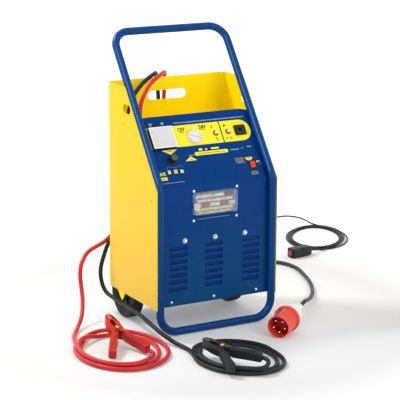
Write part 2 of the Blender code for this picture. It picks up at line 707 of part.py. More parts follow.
# ================================================================ front fasteners
for k, x in enumerate(CORE_BOLTS):
    head = [(0, -0.0076), (0.0035, -0.0072), (0.0062, -0.0055), (0.0075, -0.0024), (0.0085, -0.0022), (0.0085, -GAP), (0.0040, -GAP), (0.0040, 0.0700), (0, 0.0700)]
    finish(turned(head, 12, axis="y"), "core_bolt_%d" % (k + 1), STEEL, loc=(x, PANEL_Y, CORE_BOLT_Z), smooth=45)
for k, x in enumerate(LOW_SCREWS):
    head = [(0, -0.0034), (0.0028, -0.0030), (0.0046, -0.0014), (0.0048, -GAP), (0.0022, -GAP), (0.0022, 0.0085), (0, 0.0085)]
    finish(turned(head, 10, axis="y"), "panel_screw_%d" % (k + 1), STEEL, loc=(x, PANEL_Y, LOW_SCREW_Z), smooth=45)

# ================================================================ controls
mx0, mx1, mv0, mv1 = METER
meter = finish(block(mx0, mx1, mv0, mv1, GAP, 0.0125), "meter_body", BLACK_PLASTIC, PANEL)
combine(meter, guide(block(mx0 + 0.0074, mx1 - 0.0074, mv0 + 0.0084, mv1 - 0.0084, -0.030, 0.002), "meter_barrel", PANEL), "UNION")
combine(meter, guide(block(mx0 + 0.004, mx1 - 0.004, mv0 + 0.004, mv1 - 0.004, 0.0062, 0.0200), "meter_well", PANEL), "DIFFERENCE")
NEEDLE_X, NEEDLE_V = (mx0 + mx1) / 2, mv0 + 0.0125
needle_tip = outline([(-0.0028, -0.006), (0.0028, -0.006), (0.0006, 0.044), (-0.0006, 0.044)], 0.0)
needle_turn = math.radians(45.0)
needle_pts = [(p[0] * math.cos(needle_turn) - p[1] * math.sin(needle_turn), p[0] * math.sin(needle_turn) + p[1] * math.cos(needle_turn)) for p in needle_tip]
finish(prism(needle_pts, -0.0006, 0.0006), "meter_needle", RED_PLASTIC, PANEL, loc=(NEEDLE_X, NEEDLE_V, 0.0092))
finish(block(mx0 + 0.0005, mx1 - 0.0005, mv0 + 0.0005, mv1 - 0.0005, 0.0128, 0.0142), "meter_lens", CLEAR, PANEL)

knob = finish(turned([(0, -0.0080), (0.0032, -0.0080), (0.0032, 0.0008), (0.0235, 0.0008), (0.0235, 0.0045), (0.0205, 0.0130), (0.0185, 0.0150), (0, 0.0150)], 24), "selector_knob", WHITE_PLASTIC, PANEL, loc=(*SELECTOR, 0.0), smooth=35)
bar = guide(block(-0.0215, 0.0225, -0.0055, 0.0055, 0.0040, 0.0200), "selector_bar", knob, rot=(0, 0, math.radians(-23.0)))
combine(knob, bar, "UNION")
timer = finish(turned([(0, -0.0080), (0.0032, -0.0080), (0.0032, 0.0008), (0.0130, 0.0008), (0.0130, 0.0215), (0.0118, 0.0235), (0, 0.0235)], 20), "timer_knob", BLACK_PLASTIC, PANEL, loc=(*TIMER, 0.0), smooth=35)
combine(timer, guide(block(-0.0012, 0.0012, -0.0142, -0.004, 0.0060, 0.0228), "timer_mark", timer), "UNION")

for k, (x, v) in enumerate(BUTTONS):
    finish(turned([(0, -0.0100), (0.0072, -0.0100), (0.0072, -0.0052), (0.0050, -0.0052), (0.0050, 0.0070), (0.0040, 0.0082), (0, 0.0086)], 12), "push_button_%d" % (k + 1), WHITE_PLASTIC, PANEL, loc=(x, v, 0.0), smooth=45)

sx0, sx1, sv0, sv1 = SOCKET
sock = finish(block(sx0, sx1, sv0, sv1, GAP, 0.0045), "socket_block", BLACK_PLASTIC, PANEL)
combine(sock, guide(block(sx0 + 0.0039, sx1 - 0.0039, sv0 + 0.0039, sv1 - 0.0039, -0.020, 0.0025), "socket_barrel", PANEL), "UNION")
combine(sock, guide(turned([(0, -0.012), (0.0100, -0.012), (0.0100, 0.020), (0, 0.020)], 16), "socket_well", PANEL, loc=((sx0 + sx1) / 2 - 0.002, (sv0 + sv1) / 2, 0.0)), "DIFFERENCE")

rx, rv = ROCKER
rf = finish(block(-0.0130, 0.0130, -0.0155, 0.0155, GAP, 0.0024), "rocker_frame", BLACK_PLASTIC, PANEL, loc=(rx, rv, 0.0))
combine(rf, guide(block(-0.0102, 0.0102, -0.0125, 0.0125, -0.0160, 0.0012), "rocker_barrel", rf), "UNION")
combine(rf, guide(block(-0.0088, 0.0088, -0.0113, 0.0113, -0.0120, 0.0100), "rocker_well", rf), "DIFFERENCE")
tilt = math.radians(8.0)
rock = [(-0.0092, -0.0040), (0.0092, -0.0040), (0.0100, 0.0040), (0.0, 0.0028), (-0.0100, 0.0040)]
rock = [(p[0] * math.cos(tilt) - p[1] * math.sin(tilt), p[0] * math.sin(tilt) + p[1] * math.cos(tilt)) for p in rock]
finish(prism(rock, -0.0083, 0.0083, "x"), "rocker", RED_PLASTIC, PANEL, loc=(rx, rv, 0.0010))


# ================================================================ glands
def gland(name, loc, axis, hole_r, flange_r, exit_r, flange_t, relief):
    """Locking ring inside, flange outside and a tapered sleeve on the cord."""
    p = [
        (0, -0.010), (hole_r, -0.010), (hole_r, GAP), (flange_r, GAP), (flange_r, flange_t),
        (exit_r + 0.0030, flange_t + 0.001), (exit_r + 0.0006, relief), (0, relief),
    ]
    return finish(turned(p, 12, axis=axis), name, BLACK_PLASTIC, loc=loc, smooth=45)


LEAD_EXIT, CORD_EXIT, REMOTE_EXIT = 0.030, 0.036, 0.026
gland("lead_gland_red", (*RED_GLAND, TRAY_Z + tray_t), "z", 0.0090, 0.0130, 0.0070, 0.0055, LEAD_EXIT)
gland("lead_gland_black", (*BLACK_GLAND, TRAY_Z + tray_t), "z", 0.0090, 0.0130, 0.0070, 0.0055, LEAD_EXIT)
MAINS_GLAND = (0.120, CASE_BACK, 0.160)
REMOTE_GLAND = (0.170, CASE_BACK, 0.200)
gland("mains_gland", MAINS_GLAND, "y", 0.0100, 0.0140, 0.0068, 0.0060, CORD_EXIT)
gland("remote_gland", REMOTE_GLAND, "y", 0.0062, 0.0090, 0.0030, 0.0040, REMOTE_EXIT)

# ================================================================ battery leads
z0 = TRAY_Z + tray_t + LEAD_EXIT + 0.0004
floor_lead = LEAD_D / 2 + 0.0008
red_route = [
    (RED_GLAND[0], RED_GLAND[1], z0), (RED_GLAND[0], RED_GLAND[1], z0 + 0.022),
    (-0.1410, 0.2410, 0.6900), (-0.1160, 0.2540, 0.7290), (-0.0850, 0.2690, 0.7530),
    (-0.0530, 0.2880, 0.7650), (-0.0270, 0.3110, 0.7697), (-0.0060, 0.3345, 0.7675),
    (0.0003, 0.3480, 0.7495), (0.0000, 0.3490, 0.7100), (-0.0080, 0.3550, 0.6000),
    (-0.0380, 0.3590, 0.5000), (-0.0900, 0.3600, 0.3850), (-0.1500, 0.3610, 0.2850),
    (-0.2080, 0.3600, 0.2290), (-0.2850, 0.3330, 0.2060), (-0.3200, 0.3080, 0.1800),
    (-0.3300, 0.3000, 0.1450), (-0.3310, 0.2900, 0.1060), (-0.3400, 0.2620, 0.0700),
    (-0.3620, 0.2240, 0.0330), (-0.3920, 0.1880, 0.0120), (-0.4180, 0.1520, floor_lead), (-0.4390, 0.1180, floor_lead),
    (-0.4570, 0.0860, floor_lead),
]
tube("red_lead", smooth_route(red_route, 44), LEAD_D, RED_RUBBER)
black_route = [
    (BLACK_GLAND[0], BLACK_GLAND[1], z0), (BLACK_GLAND[0], BLACK_GLAND[1], z0 + 0.022),
    (-0.1580, 0.2800, 0.6800), (-0.1450, 0.2790, 0.7140), (-0.1190, 0.2800, 0.7440),
    (-0.0890, 0.2890, 0.7615), (-0.0610, 0.3080, 0.7690), (-0.0390, 0.3340, 0.7672),
    (-0.0295, 0.3475, 0.7490), (-0.0245, 0.3475, 0.7100), (-0.0240, 0.3430, 0.6000),
    (-0.0480, 0.3410, 0.5000), (-0.0960, 0.3410, 0.3900), (-0.1560, 0.3410, 0.2900),
    (-0.2060, 0.3415, 0.2280), (-0.2250, 0.3440, 0.1800), (-0.2300, 0.3560, 0.1350),
    (-0.2310, 0.3500, 0.1000), (-0.2280, 0.3260, 0.0690), (-0.2200, 0.2850, 0.0560),
    (-0.2150, 0.2350, 0.0510), (-0.2150, 0.1840, 0.0505), (-0.2170, 0.1200, 0.0495),
    (-0.2200, 0.0740, 0.0470), (-0.2215, 0.0300, 0.0425), (-0.2215, 0.0000, 0.0380),
    (-0.2190, -0.0300, 0.0315), (-0.2110, -0.0600, 0.0225), (-0.1980, -0.0920, 0.0120),
    (-0.1835, -0.1220, floor_lead),
]
tube("black_lead", smooth_route(black_route, 46), LEAD_D, BLACK_RUBBER)

RED_OUT = (-0.3676, -0.0646, 0.1420, 0.1820, math.radians(-10.5))
RED_IN = (-0.3660, -0.0560, 0.1000, 0.1180, math.radians(-10.5))
coil_ring("red_coil", RED_OUT, RED_IN, 0.0300, RED_RUBBER)
BLACK_OUT = (-0.0998, -0.2923, 0.1190, 0.1570, math.radians(19.2))
BLACK_IN = (-0.0830, -0.2620, 0.0600, 0.1050, math.radians(19.2))
coil_ring("black_coil", BLACK_OUT, BLACK_IN, 0.0190, BLACK_RUBBER)

# ================================================================ mains lead and plug
plug_face = Vector((0.117, -0.178, 0.0366))
plug_dir = Vector((0.801, 0.593, 0.0800)).normalized()      # from the face to the rear
plug_len = 0.190
plug_end = plug_face + plug_dir * plug_len
plug_axis = plug_dir.to_track_quat("Z", "Y").to_matrix().to_4x4()
plug_m = Matrix.Translation(plug_face) @ plug_axis
floor_mains = MAINS_D / 2 + 0.0008
mx, my, mz = MAINS_GLAND
mains_route = [
    (mx, my + CORD_EXIT + GAP, mz), (mx, my + CORD_EXIT + 0.024, mz),
    (mx + 0.006, my + 0.088, mz - 0.020), (mx + 0.020, my + 0.115, mz - 0.065),
    (mx + 0.038, my + 0.136, mz - 0.110), (mx + 0.062, my + 0.156, 0.0180), (0.222, 0.512, floor_mains), (0.285, 0.545, floor_mains),
    (0.360, 0.573, floor_mains), (0.450, 0.583, floor_mains), (0.528, 0.566, floor_mains),
    (0.572, 0.520, floor_mains), (0.583, 0.450, floor_mains), (0.562, 0.365, floor_mains),
    (0.527, 0.270, floor_mains), (0.477, 0.177, floor_mains + 0.001), (0.418, 0.096, 0.0180),
    (0.362, 0.030, 0.0330),
    tuple(plug_end + plug_dir * 0.045), tuple(plug_end + plug_dir * 0.020), tuple(plug_end + plug_dir * 0.0004),
]
tube("mains_lead", smooth_route(mains_route, 44), MAINS_D, BLACK_RUBBER)
shroud = finish(
    turned([
        (0, 0.0620), (0.0330, 0.0620), (0.0330, 0.0), (0.0360, 0.0), (0.0360, 0.0680), (0.0420, 0.0690),
        (0.0420, 0.0820), (0.0390, 0.0840), (0, 0.0840),
    ], 28),
    "plug_shroud", RED_PLASTIC, matrix=plug_m, smooth=40,
)
finish(
    turned([(0, 0.0843), (0.0330, 0.0843), (0.0330, 0.1180), (0.0300, 0.1300), (0.0170, 0.1560), (0.0130, 0.1640), (0.0130, 0.1760), (0.0085, 0.1900), (0, 0.1900)], 20),
    "plug_rear", WHITE_PLASTIC, matrix=plug_m, smooth=40,
)
insert = finish(turned([(0, 0.0400), (0.0322, 0.0400), (0.0322, 0.0617), (0, 0.0617)], 20), "plug_insert", RED_PLASTIC, matrix=plug_m, smooth=40)
pins = []
for k in range(5):
    a = math.radians(270 + 72 * k)
    pin = turned([(0, 0.0080), (0.0022, 0.0084), (0.0030, 0.0100), (0.0030, 0.0450), (0, 0.0450)], 8)
    bmesh.ops.translate(pin, vec=(0.0195 * math.cos(a), 0.0195 * math.sin(a), 0.0), verts=pin.verts)
    pins.append(pin)
combine(insert, guide(merge(*pins), "plug_pins", insert), "UNION")

# ================================================================ remote switch
floor_remote = REMOTE_D / 2 + 0.0008
gx, gy, gz = REMOTE_GLAND
remote_route = [
    (gx, gy + REMOTE_EXIT + GAP, gz), (gx, gy + 0.042, gz), (gx + 0.002, gy + 0.062, gz - 0.020),
    (gx + 0.006, gy + 0.078, gz - 0.070), (gx + 0.012, gy + 0.092, gz - 0.125), (gx + 0.020, gy + 0.114, 0.0300),
    (0.203, 0.480, 0.0200), (0.222, 0.520, 0.0195), (0.245, 0.560, 0.0110), (0.300, 0.650, floor_remote), (0.385, 0.775, floor_remote),
    (0.500, 0.900, floor_remote), (0.640, 1.000, floor_remote), (0.780, 1.070, floor_remote),
    (0.890, 1.105, floor_remote), (0.960, 1.105, floor_remote), (0.990, 1.065, floor_remote),
    (0.992, 1.005, floor_remote), (0.980, 0.962, floor_remote),
]
tube("remote_lead", smooth_route(remote_route, 48), REMOTE_D, BLACK_RUBBER)
REMOTE_OUT = (0.8780, 0.7700, 0.1730, 0.1130, math.radians(56.6))
REMOTE_IN = (0.8730, 0.7680, 0.0980, 0.0700, math.radians(56.6))
coil_ring("remote_coil", REMOTE_OUT, REMOTE_IN, 0.0160, BLACK_RUBBER)

handset_m = Matrix.Translation((0.648, 0.5814, 0.0185)) @ Matrix.Rotation(math.radians(8.8), 4, "Z")
grip = outline([(-0.0200, -0.0180), (0.0200, -0.0180), (0.0200, 0.0180), (-0.0200, 0.0180)], 0.007, 2)
handset = finish(prism(grip, 0.0, 0.0900, "x"), "handset", BLACK_PLASTIC, matrix=handset_m, smooth=40)
combine(handset, guide(prism(circle(0, 0, 0.0122, 16), -0.0100, 0.0160, "x"), "handset_well", handset), "DIFFERENCE")
combine(handset, guide(turned([(0, 0.0880), (0.0090, 0.0880), (0.0075, 0.0960), (0.0046, 0.1120), (0, 0.1120)], 12, axis="x"), "handset_sleeve", handset), "UNION")
finish(
    turned([(0, 0.0110), (0.0112, 0.0110), (0.0112, -0.0020), (0.0096, -0.0045), (0, -0.0055)], 16, axis="x"),
    "handset_button", RED_PLASTIC, matrix=handset_m, smooth=40,
)


# ================================================================ battery clamps
def clamp(name, mat, pivot, yaw, pitch, roll):
    """Two insulated arms on one pin. The arm on the right carries the pin and the lead,
    the arm on the left turns on it; the jaws point along local +X."""
    a = Vector((math.cos(pitch) * math.cos(yaw), math.cos(pitch) * math.sin(yaw), math.sin(pitch)))
    b0 = Vector((math.sin(yaw), -math.cos(yaw), 0.0))
    n0 = b0.cross(a)
    b = b0 * math.cos(roll) + n0 * math.sin(roll)
    n = n0 * math.cos(roll) - b0 * math.sin(roll)
    # local X towards the jaws, local Y to the left, local Z out of the clamp's plane
    m = Matrix((a, -b, n)).transposed().to_4x4()
    m.translation = Vector(pivot)
    ex, ey = CLAMP_HANDLE * math.cos(CLAMP_SPLAY), CLAMP_HANDLE * math.sin(CLAMP_SPLAY)
    d = Vector((-math.cos(CLAMP_SPLAY), math.sin(CLAMP_SPLAY)))
    s = Vector((math.sin(CLAMP_SPLAY), math.cos(CLAMP_SPLAY)))
    end = Vector((-ex, ey))
    arm = [
        (0.0090, 0.0006), (0.0140, 0.0030), (0.0250, 0.0070), (0.0400, 0.0075), (0.0500, 0.0050), (0.0580, 0.0006),
        (CLAMP_JAW, 0.0006), (CLAMP_JAW, 0.0050), (0.0820, 0.0100), (0.0680, 0.0150), (0.0450, 0.0190), (0.0200, 0.0200),
        (-0.0050, 0.0190),
        tuple(end + s * 0.0130 - d * 0.0040), tuple(end + s * 0.0100 + d * 0.0010), tuple(end - s * 0.0090 + d * 0.0010),
        tuple(end - s * 0.0120 - d * 0.0030), (-0.0110, 0.0050), (-0.0090, 0.0030),
    ]
    thick, ear_in, ear_out = 0.0127, 0.0130, 0.0162
    flip = [(x, -y) for x, y in reversed(arm)]
    # the arm with the pin: right side, local -Y
    fixed = finish(prism(flip, -thick, thick), name + "_fixed_arm", mat, matrix=m)
    cheeks = [(-0.0200, -0.0180), (0.0400, -0.0180), (0.0400, -0.0080), (0.0110, -0.0006), (-0.0100, -0.0035), (-0.0200, -0.0085)]
    combine(fixed, guide(prism(cheeks, -ear_out, ear_out), name + "_cheeks", fixed), "UNION")
    combine(fixed, guide(turned([(0, -ear_in), (0.0104, -ear_in), (0.0104, ear_in), (0, ear_in)], 16), name + "_pocket", fixed), "DIFFERENCE")
    combine(fixed, guide(turned([
        (0, -ear_out + 0.0002), (0.0096, -ear_out + 0.0002), (0.0096, -ear_in), (0.0030, -ear_in), (0.0030, ear_in),
        (0.0096, ear_in), (0.0096, ear_out - 0.0002), (0, ear_out - 0.0002),
    ], 16), name + "_pin", fixed), "UNION")
    moving = finish(prism(arm, -thick, thick), name + "_moving_arm", mat, matrix=m)
    combine(moving, guide(prism(circle(0, 0, 0.0094, 16), -thick, thick), name + "_eye", moving), "UNION")
    combine(moving, guide(prism(circle(0, 0, 0.0030 / math.cos(math.pi / 16) + 0.00006, 16), -0.020, 0.020), name + "_eye_bore", moving), "DIFFERENCE")
    return fixed, moving


clamp("red_clamp", RED_PLASTIC, (-0.3526, -0.0082, 0.0445), math.radians(84.6), math.radians(15.0), math.radians(1.8))
clamp("black_clamp", BLACK_PLASTIC, (-0.1512, -0.2982, 0.0405), math.radians(99.4), math.radians(3.5), math.radians(5.6))
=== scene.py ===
import json
import math

import bmesh
import bpy
from mathutils import Matrix, Vector
from mathutils.geometry import tessellate_polygon


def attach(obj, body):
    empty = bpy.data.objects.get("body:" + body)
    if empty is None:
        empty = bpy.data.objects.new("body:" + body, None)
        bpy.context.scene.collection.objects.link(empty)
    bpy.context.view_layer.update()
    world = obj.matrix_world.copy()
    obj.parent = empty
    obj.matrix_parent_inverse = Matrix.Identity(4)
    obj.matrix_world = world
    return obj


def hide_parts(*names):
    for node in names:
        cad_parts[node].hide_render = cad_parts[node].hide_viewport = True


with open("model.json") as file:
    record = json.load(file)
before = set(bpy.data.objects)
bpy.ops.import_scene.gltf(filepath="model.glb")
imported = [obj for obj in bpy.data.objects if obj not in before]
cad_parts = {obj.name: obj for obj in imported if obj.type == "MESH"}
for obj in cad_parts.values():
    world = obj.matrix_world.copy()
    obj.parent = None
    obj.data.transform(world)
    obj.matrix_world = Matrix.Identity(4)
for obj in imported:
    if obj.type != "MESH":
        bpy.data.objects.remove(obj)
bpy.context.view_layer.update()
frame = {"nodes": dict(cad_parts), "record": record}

# The numbers below are in the charger's own measure: y = 0 at the front tubes.
MID_Y = 0.1615
HOME = Matrix.Translation((0.0, -MID_Y, 0.0))
TUBE_R, FRAME_X, BEND_Z, TOP_Y, TOP_Z = 0.0125, 0.200, 0.468, 0.323, 0.909
LEAN = Vector((0.0, TOP_Y, TOP_Z - BEND_Z)).normalized()
OUT = Vector((0.0, -LEAN.z, LEAN.y))
LEAN_ANGLE = math.atan2(LEAN.z, LEAN.y)
PANEL_Y = 0.013
PANEL_ORIGIN = Vector((0.0, 0.0, BEND_Z)) - OUT * PANEL_Y
PANEL = HOME @ Matrix.Translation(PANEL_ORIGIN) @ Matrix.Rotation(LEAN_ANGLE, 4, "X")

scene = bpy.context.scene
scene.view_settings.view_transform = "Standard"


# ---------------------------------------------------------------- materials
def _tree(name):
    m = bpy.data.materials.new(name)
    m.use_nodes = True
    t = m.node_tree
    b = t.nodes["Principled BSDF"]
    coord = t.nodes.new("ShaderNodeTexCoord")
    return m, t, b, coord


def _noise(t, coord, scale, detail=3.0, rough=0.55, stretch=None):
    n = t.nodes.new("ShaderNodeTexNoise")
    n.inputs["Scale"].default_value = scale
    n.inputs["Detail"].default_value = detail
    n.inputs["Roughness"].default_value = rough
    if stretch is None:
        t.links.new(coord.outputs["Object"], n.inputs["Vector"])
    else:
        mp = t.nodes.new("ShaderNodeMapping")
        mp.inputs["Scale"].default_value = stretch
        t.links.new(coord.outputs["Object"], mp.inputs["Vector"])
        t.links.new(mp.outputs["Vector"], n.inputs["Vector"])
    return n


def _range(t, src, low, high, a=0.3, b=0.7):
    r = t.nodes.new("ShaderNodeMapRange")
    r.inputs["From Min"].default_value = a
    r.inputs["From Max"].default_value = b
    r.inputs["To Min"].default_value = low
    r.inputs["To Max"].default_value = high
    t.links.new(src, r.inputs["Value"])
    return r.outputs["Result"]


def _mix(t, fac, one, two):
    m = t.nodes.new("ShaderNodeMix")
    m.data_type = "RGBA"
    t.links.new(fac, m.inputs["Factor"])
    for sock, v in ((m.inputs["A"], one), (m.inputs["B"], two)):
        if isinstance(v, tuple):
            sock.default_value = (*v, 1.0)
        else:
            t.links.new(v, sock)
    return m.outputs["Result"]


def _bump(t, b, src, strength, distance):
    k = t.nodes.new("ShaderNodeBump")
    k.inputs["Strength"].default_value = strength
    k.inputs["Distance"].default_value = distance
    t.links.new(src, k.inputs["Height"])
    if b.inputs["Normal"].is_linked:
        t.links.new(b.inputs["Normal"].links[0].from_socket, k.inputs["Normal"])
    t.links.new(k.outputs["Normal"], b.inputs["Normal"])


def finish_of(name, colour, rough=0.4, metal=0.0, vary=0.10, blotch=9.0, spread=0.10,
              grain=None, grain_depth=0.0001, grain_strength=0.25, stretch=None,
              coat=0.0, coat_rough=0.1, spec=0.5, second=None, alpha=None, transmission=0.0, ior=1.45):
    """Colour that drifts a little over the surface, roughness that varies, and a fine grain."""
    m, t, b, coord = _tree(name)
    big = _noise(t, coord, blotch, 4.0)
    one = tuple(max(0.0, c * (1 - vary)) for c in colour)
    two = second if second else tuple(min(1.0, c * (1 + vary)) for c in colour)
    f = _range(t, big.outputs["Fac"], 0.0, 1.0)
    t.links.new(_mix(t, f, one, two), b.inputs["Base Color"])
    small = _noise(t, coord, blotch * 7, 3.0)
    t.links.new(_range(t, small.outputs["Fac"], max(0.02, rough - spread / 2), min(1.0, rough + spread / 2)), b.inputs["Roughness"])
    b.inputs["Metallic"].default_value = metal
    b.inputs["Coat Weight"].default_value = coat
    b.inputs["Coat Roughness"].default_value = coat_rough
    b.inputs["Specular IOR Level"].default_value = spec
    b.inputs["IOR"].default_value = ior
    b.inputs["Transmission Weight"].default_value = transmission
    if alpha is not None:
        b.inputs["Alpha"].default_value = alpha
    if grain:
        g = _noise(t, coord, grain, 2.0, 0.6, stretch)
        _bump(t, b, g.outputs["Fac"], grain_strength, grain_depth)
    m.diffuse_color = (*colour, 1.0)
    return m


def yellow_with_painted_light():
    """Yellow enamel, paler towards the floor as a painted reflection of the floor, brighter on the case's inner faces
    as painted light, with faint drawing streaks.
    """
    m, t, b, coord = _tree("case_enamel")
    split = t.nodes.new("ShaderNodeSeparateXYZ")
    t.links.new(coord.outputs["Object"], split.inputs["Vector"])
    # painted reflection of the floor: the yellow turns paler low down
    h = _range(t, split.outputs["Z"], 0.0, 1.0, 0.10, 0.62)
    base = _mix(t, h, (0.800, 0.520, 0.062), (0.840, 0.520, 0.0006))
    # painted light: the case's inner faces get a brighter yellow than the outer ones, to lift the shade inside
    inner = t.nodes.new("ShaderNodeMath")
    inner.operation = "ABSOLUTE"
    t.links.new(split.outputs["X"], inner.inputs[0])
    side = _range(t, inner.outputs["Value"], 1.0, 0.0, 0.2134, 0.2138)
    rear = _range(t, split.outputs["Y"], 1.0, 0.0, 0.1694, 0.1698)
    inside_painted_light = t.nodes.new("ShaderNodeMath")
    inside_painted_light.operation = "MULTIPLY"
    t.links.new(side, inside_painted_light.inputs[0])
    t.links.new(rear, inside_painted_light.inputs[1])
    base = _mix(t, inside_painted_light.outputs["Value"], base, (0.960, 0.740, 0.0010))
    n = _noise(t, coord, 5.0, 4.0)
    f = _range(t, n.outputs["Fac"], 0.0, 0.06)
    t.links.new(_mix(t, f, base, (0.95, 0.66, 0.02)), b.inputs["Base Color"])
    s = _noise(t, coord, 60.0, 3.0)
    t.links.new(_range(t, s.outputs["Fac"], 0.34, 0.44), b.inputs["Roughness"])
    b.inputs["Coat Weight"].default_value = 0.02
    b.inputs["Coat Roughness"].default_value = 0.22
    b.inputs["Specular IOR Level"].default_value = 0.08
    g = _noise(t, coord, 420.0, 2.0)
    _bump(t, b, g.outputs["Fac"], 0.12, 0.00012)
    m.diffuse_color = (0.93, 0.66, 0.05, 1.0)
    return m


def blue_enamel(name, colour, floor_light_tint=None, spec=0.12, coat=0.0, sheen=(1.0, 1.0, 1.0)):
    m, t, b, coord = _tree(name)
    n = _noise(t, coord, 4.0, 4.0)
    f = _range(t, n.outputs["Fac"], 0.0, 1.0)
    base = _mix(t, f, tuple(c * 0.93 for c in colour), tuple(min(1, c * 1.07) for c in colour))
    # painted light from the floor: the enamel takes a lighter, greener tint towards the bottom
    if floor_light_tint:
        split = t.nodes.new("ShaderNodeSeparateXYZ")
        t.links.new(coord.outputs["Object"], split.inputs["Vector"])
        base = _mix(t, _range(t, split.outputs["Z"], 0.0, 1.0, 0.10, 0.40), floor_light_tint, base)
    t.links.new(base, b.inputs["Base Color"])
    s = _noise(t, coord, 55.0, 3.0)
    t.links.new(_range(t, s.outputs["Fac"], 0.24, 0.34), b.inputs["Roughness"])
    b.inputs["Coat Weight"].default_value = coat
    b.inputs["Coat Roughness"].default_value = 0.10
    b.inputs["Specular IOR Level"].default_value = spec
    b.inputs["Specular Tint"].default_value = (*sheen, 1.0)
    g = _noise(t, coord, 380.0, 2.0)
    _bump(t, b, g.outputs["Fac"], 0.10, 0.00012)
    m.diffuse_color = (*colour, 1.0)
    return m


def striped(name, axis, pitch, one, two, rough, metal, depth):
    """Fine parallel lines, such as sheet laminations or turns of wire."""
    m, t, b, coord = _tree(name)
    w = t.nodes.new("ShaderNodeTexWave")
    w.wave_type = "BANDS"
    w.bands_direction = axis
    w.inputs["Scale"].default_value = 0.314 / pitch
    w.inputs["Distortion"].default_value = 0.4
    w.inputs["Detail"].default_value = 1.0
    t.links.new(coord.outputs["Object"], w.inputs["Vector"])
    n = _noise(t, coord, 30.0, 3.0)
    f = _range(t, w.outputs["Fac"], 0.0, 1.0, 0.2, 0.8)
    c = _mix(t, f, one, two)
    t.links.new(_mix(t, _range(t, n.outputs["Fac"], 0.0, 0.35), c, tuple(x * 0.55 for x in one)), b.inputs["Base Color"])
    t.links.new(_range(t, n.outputs["Fac"], rough - 0.08, rough + 0.08), b.inputs["Roughness"])
    b.inputs["Metallic"].default_value = metal
    _bump(t, b, w.outputs["Fac"], 0.5, depth)
    m.diffuse_color = (*one, 1.0)
    return m


M = {}
M["blue"] = blue_enamel("blue_enamel", (0.0008, 0.030, 0.130), None, 0.30, 0.0, (0.32, 0.64, 1.0))
# the panel enamel carries painted light from the floor, lighter and greener low down
M["blue_panel"] = blue_enamel("blue_enamel_panel", (0.0007, 0.036, 0.180), (0.003, 0.054, 0.165), sheen=(0.5, 0.8, 1.0))
M["yellow"] = yellow_with_painted_light()
M["zinc"] = finish_of("zinc_plate", (0.78, 0.79, 0.82), 0.24, 1.0, 0.08, 60, 0.14, 900, 0.00004)
M["bright_zinc"] = finish_of("bright_screw", (0.74, 0.78, 0.84), 0.26, 0.85, 0.06, 80, 0.10, 900, 0.00003)
M["core"] = striped("core_iron", "Y", 0.0012, (0.10, 0.10, 0.11), (0.22, 0.21, 0.21), 0.45, 0.7, 0.0003)
M["copper"] = striped("winding_wire", "Z", 0.0032, (0.42, 0.15, 0.05), (0.62, 0.28, 0.11), 0.34, 0.8, 0.0006)
M["aluminium"] = finish_of("extruded_aluminium", (0.70, 0.71, 0.73), 0.36, 1.0, 0.08, 25, 0.12, 300, 0.00008, 0.3, (0.02, 1, 0.02))
M["board"] = finish_of("circuit_board", (0.012, 0.13, 0.045), 0.42, 0.0, 0.25, 60, 0.12, 700, 0.0001)
M["black"] = finish_of("black_moulding", (0.013, 0.013, 0.014), 0.42, 0.0, 0.25, 30, 0.12, 900, 0.0001, 0.3, spec=0.3)
M["grey"] = finish_of("grey_moulding", (0.060, 0.063, 0.062), 0.48, 0.0, 0.15, 30, 0.12, 900, 0.0001, 0.3)
M["hub"] = finish_of("wheel_hub_moulding", (0.026, 0.029, 0.028), 0.46, 0.0, 0.20, 30, 0.14, 700, 0.0001, 0.3)
M["ivory"] = finish_of("ivory_moulding", (0.80, 0.76, 0.74), 0.30, 0.0, 0.04, 20, 0.08, 900, 0.00005, 0.15, spec=0.5)
M["button"] = finish_of("cream_button", (0.84, 0.80, 0.55), 0.28, 0.0, 0.04, 20, 0.08, 900, 0.00005, 0.15)
M["plug_white"] = finish_of("plug_white", (0.77, 0.83, 0.76), 0.36, 0.0, 0.04, 12, 0.10, 700, 0.00008, 0.2)
M["plug_red"] = finish_of("plug_red", (0.74, 0.055, 0.022), 0.33, 0.0, 0.08, 16, 0.10, 700, 0.00008, 0.2, coat=0.15)
M["plug_inner"] = finish_of("plug_inner", (0.36, 0.006, 0.006), 0.40, 0.0, 0.12, 24, 0.10, 700, 0.00008, 0.2)
M["brass"] = finish_of("pin_brass", (0.93, 0.88, 0.74), 0.22, 1.0, 0.05, 60, 0.10, 900, 0.00003)
M["rocker"] = finish_of("rocker_red", (0.66, 0.030, 0.016), 0.28, 0.0, 0.10, 40, 0.08, 900, 0.00004, 0.15)
M["clamp_red"] = finish_of("clamp_red", (0.46, 0.003, 0.005), 0.34, 0.0, 0.14, 22, 0.12, 500, 0.00014, 0.3, coat=0.1, spec=0.35)
M["clamp_black"] = finish_of("clamp_black", (0.020, 0.024, 0.023), 0.42, 0.0, 0.30, 22, 0.12, 500, 0.00014, 0.3, coat=0.05, spec=0.25)
M["jaw"] = finish_of("jaw_copper", (0.60, 0.30, 0.15), 0.30, 1.0, 0.20, 90, 0.18, 700, 0.0001)
M["spring"] = finish_of("spring_gilt", (0.42, 0.25, 0.08), 0.38, 1.0, 0.15, 90, 0.12, 900, 0.00005)
M["tyre"] = finish_of("tyre_rubber", (0.018, 0.022, 0.020), 0.62, 0.0, 0.35, 25, 0.16, 600, 0.0002, 0.4, spec=0.3)
M["lead_red"] = finish_of("lead_red", (0.57, 0.024, 0.028), 0.40, 0.0, 0.14, 14, 0.14, 500, 0.00018, 0.35, coat=0.05, spec=0.3)
M["lead_black"] = finish_of("lead_black", (0.014, 0.018, 0.018), 0.44, 0.0, 0.35, 14, 0.14, 500, 0.00018, 0.35, spec=0.25)
M["mains"] = finish_of("mains_rubber", (0.034, 0.038, 0.036), 0.50, 0.0, 0.25, 14, 0.14, 500, 0.00018, 0.35, spec=0.25)
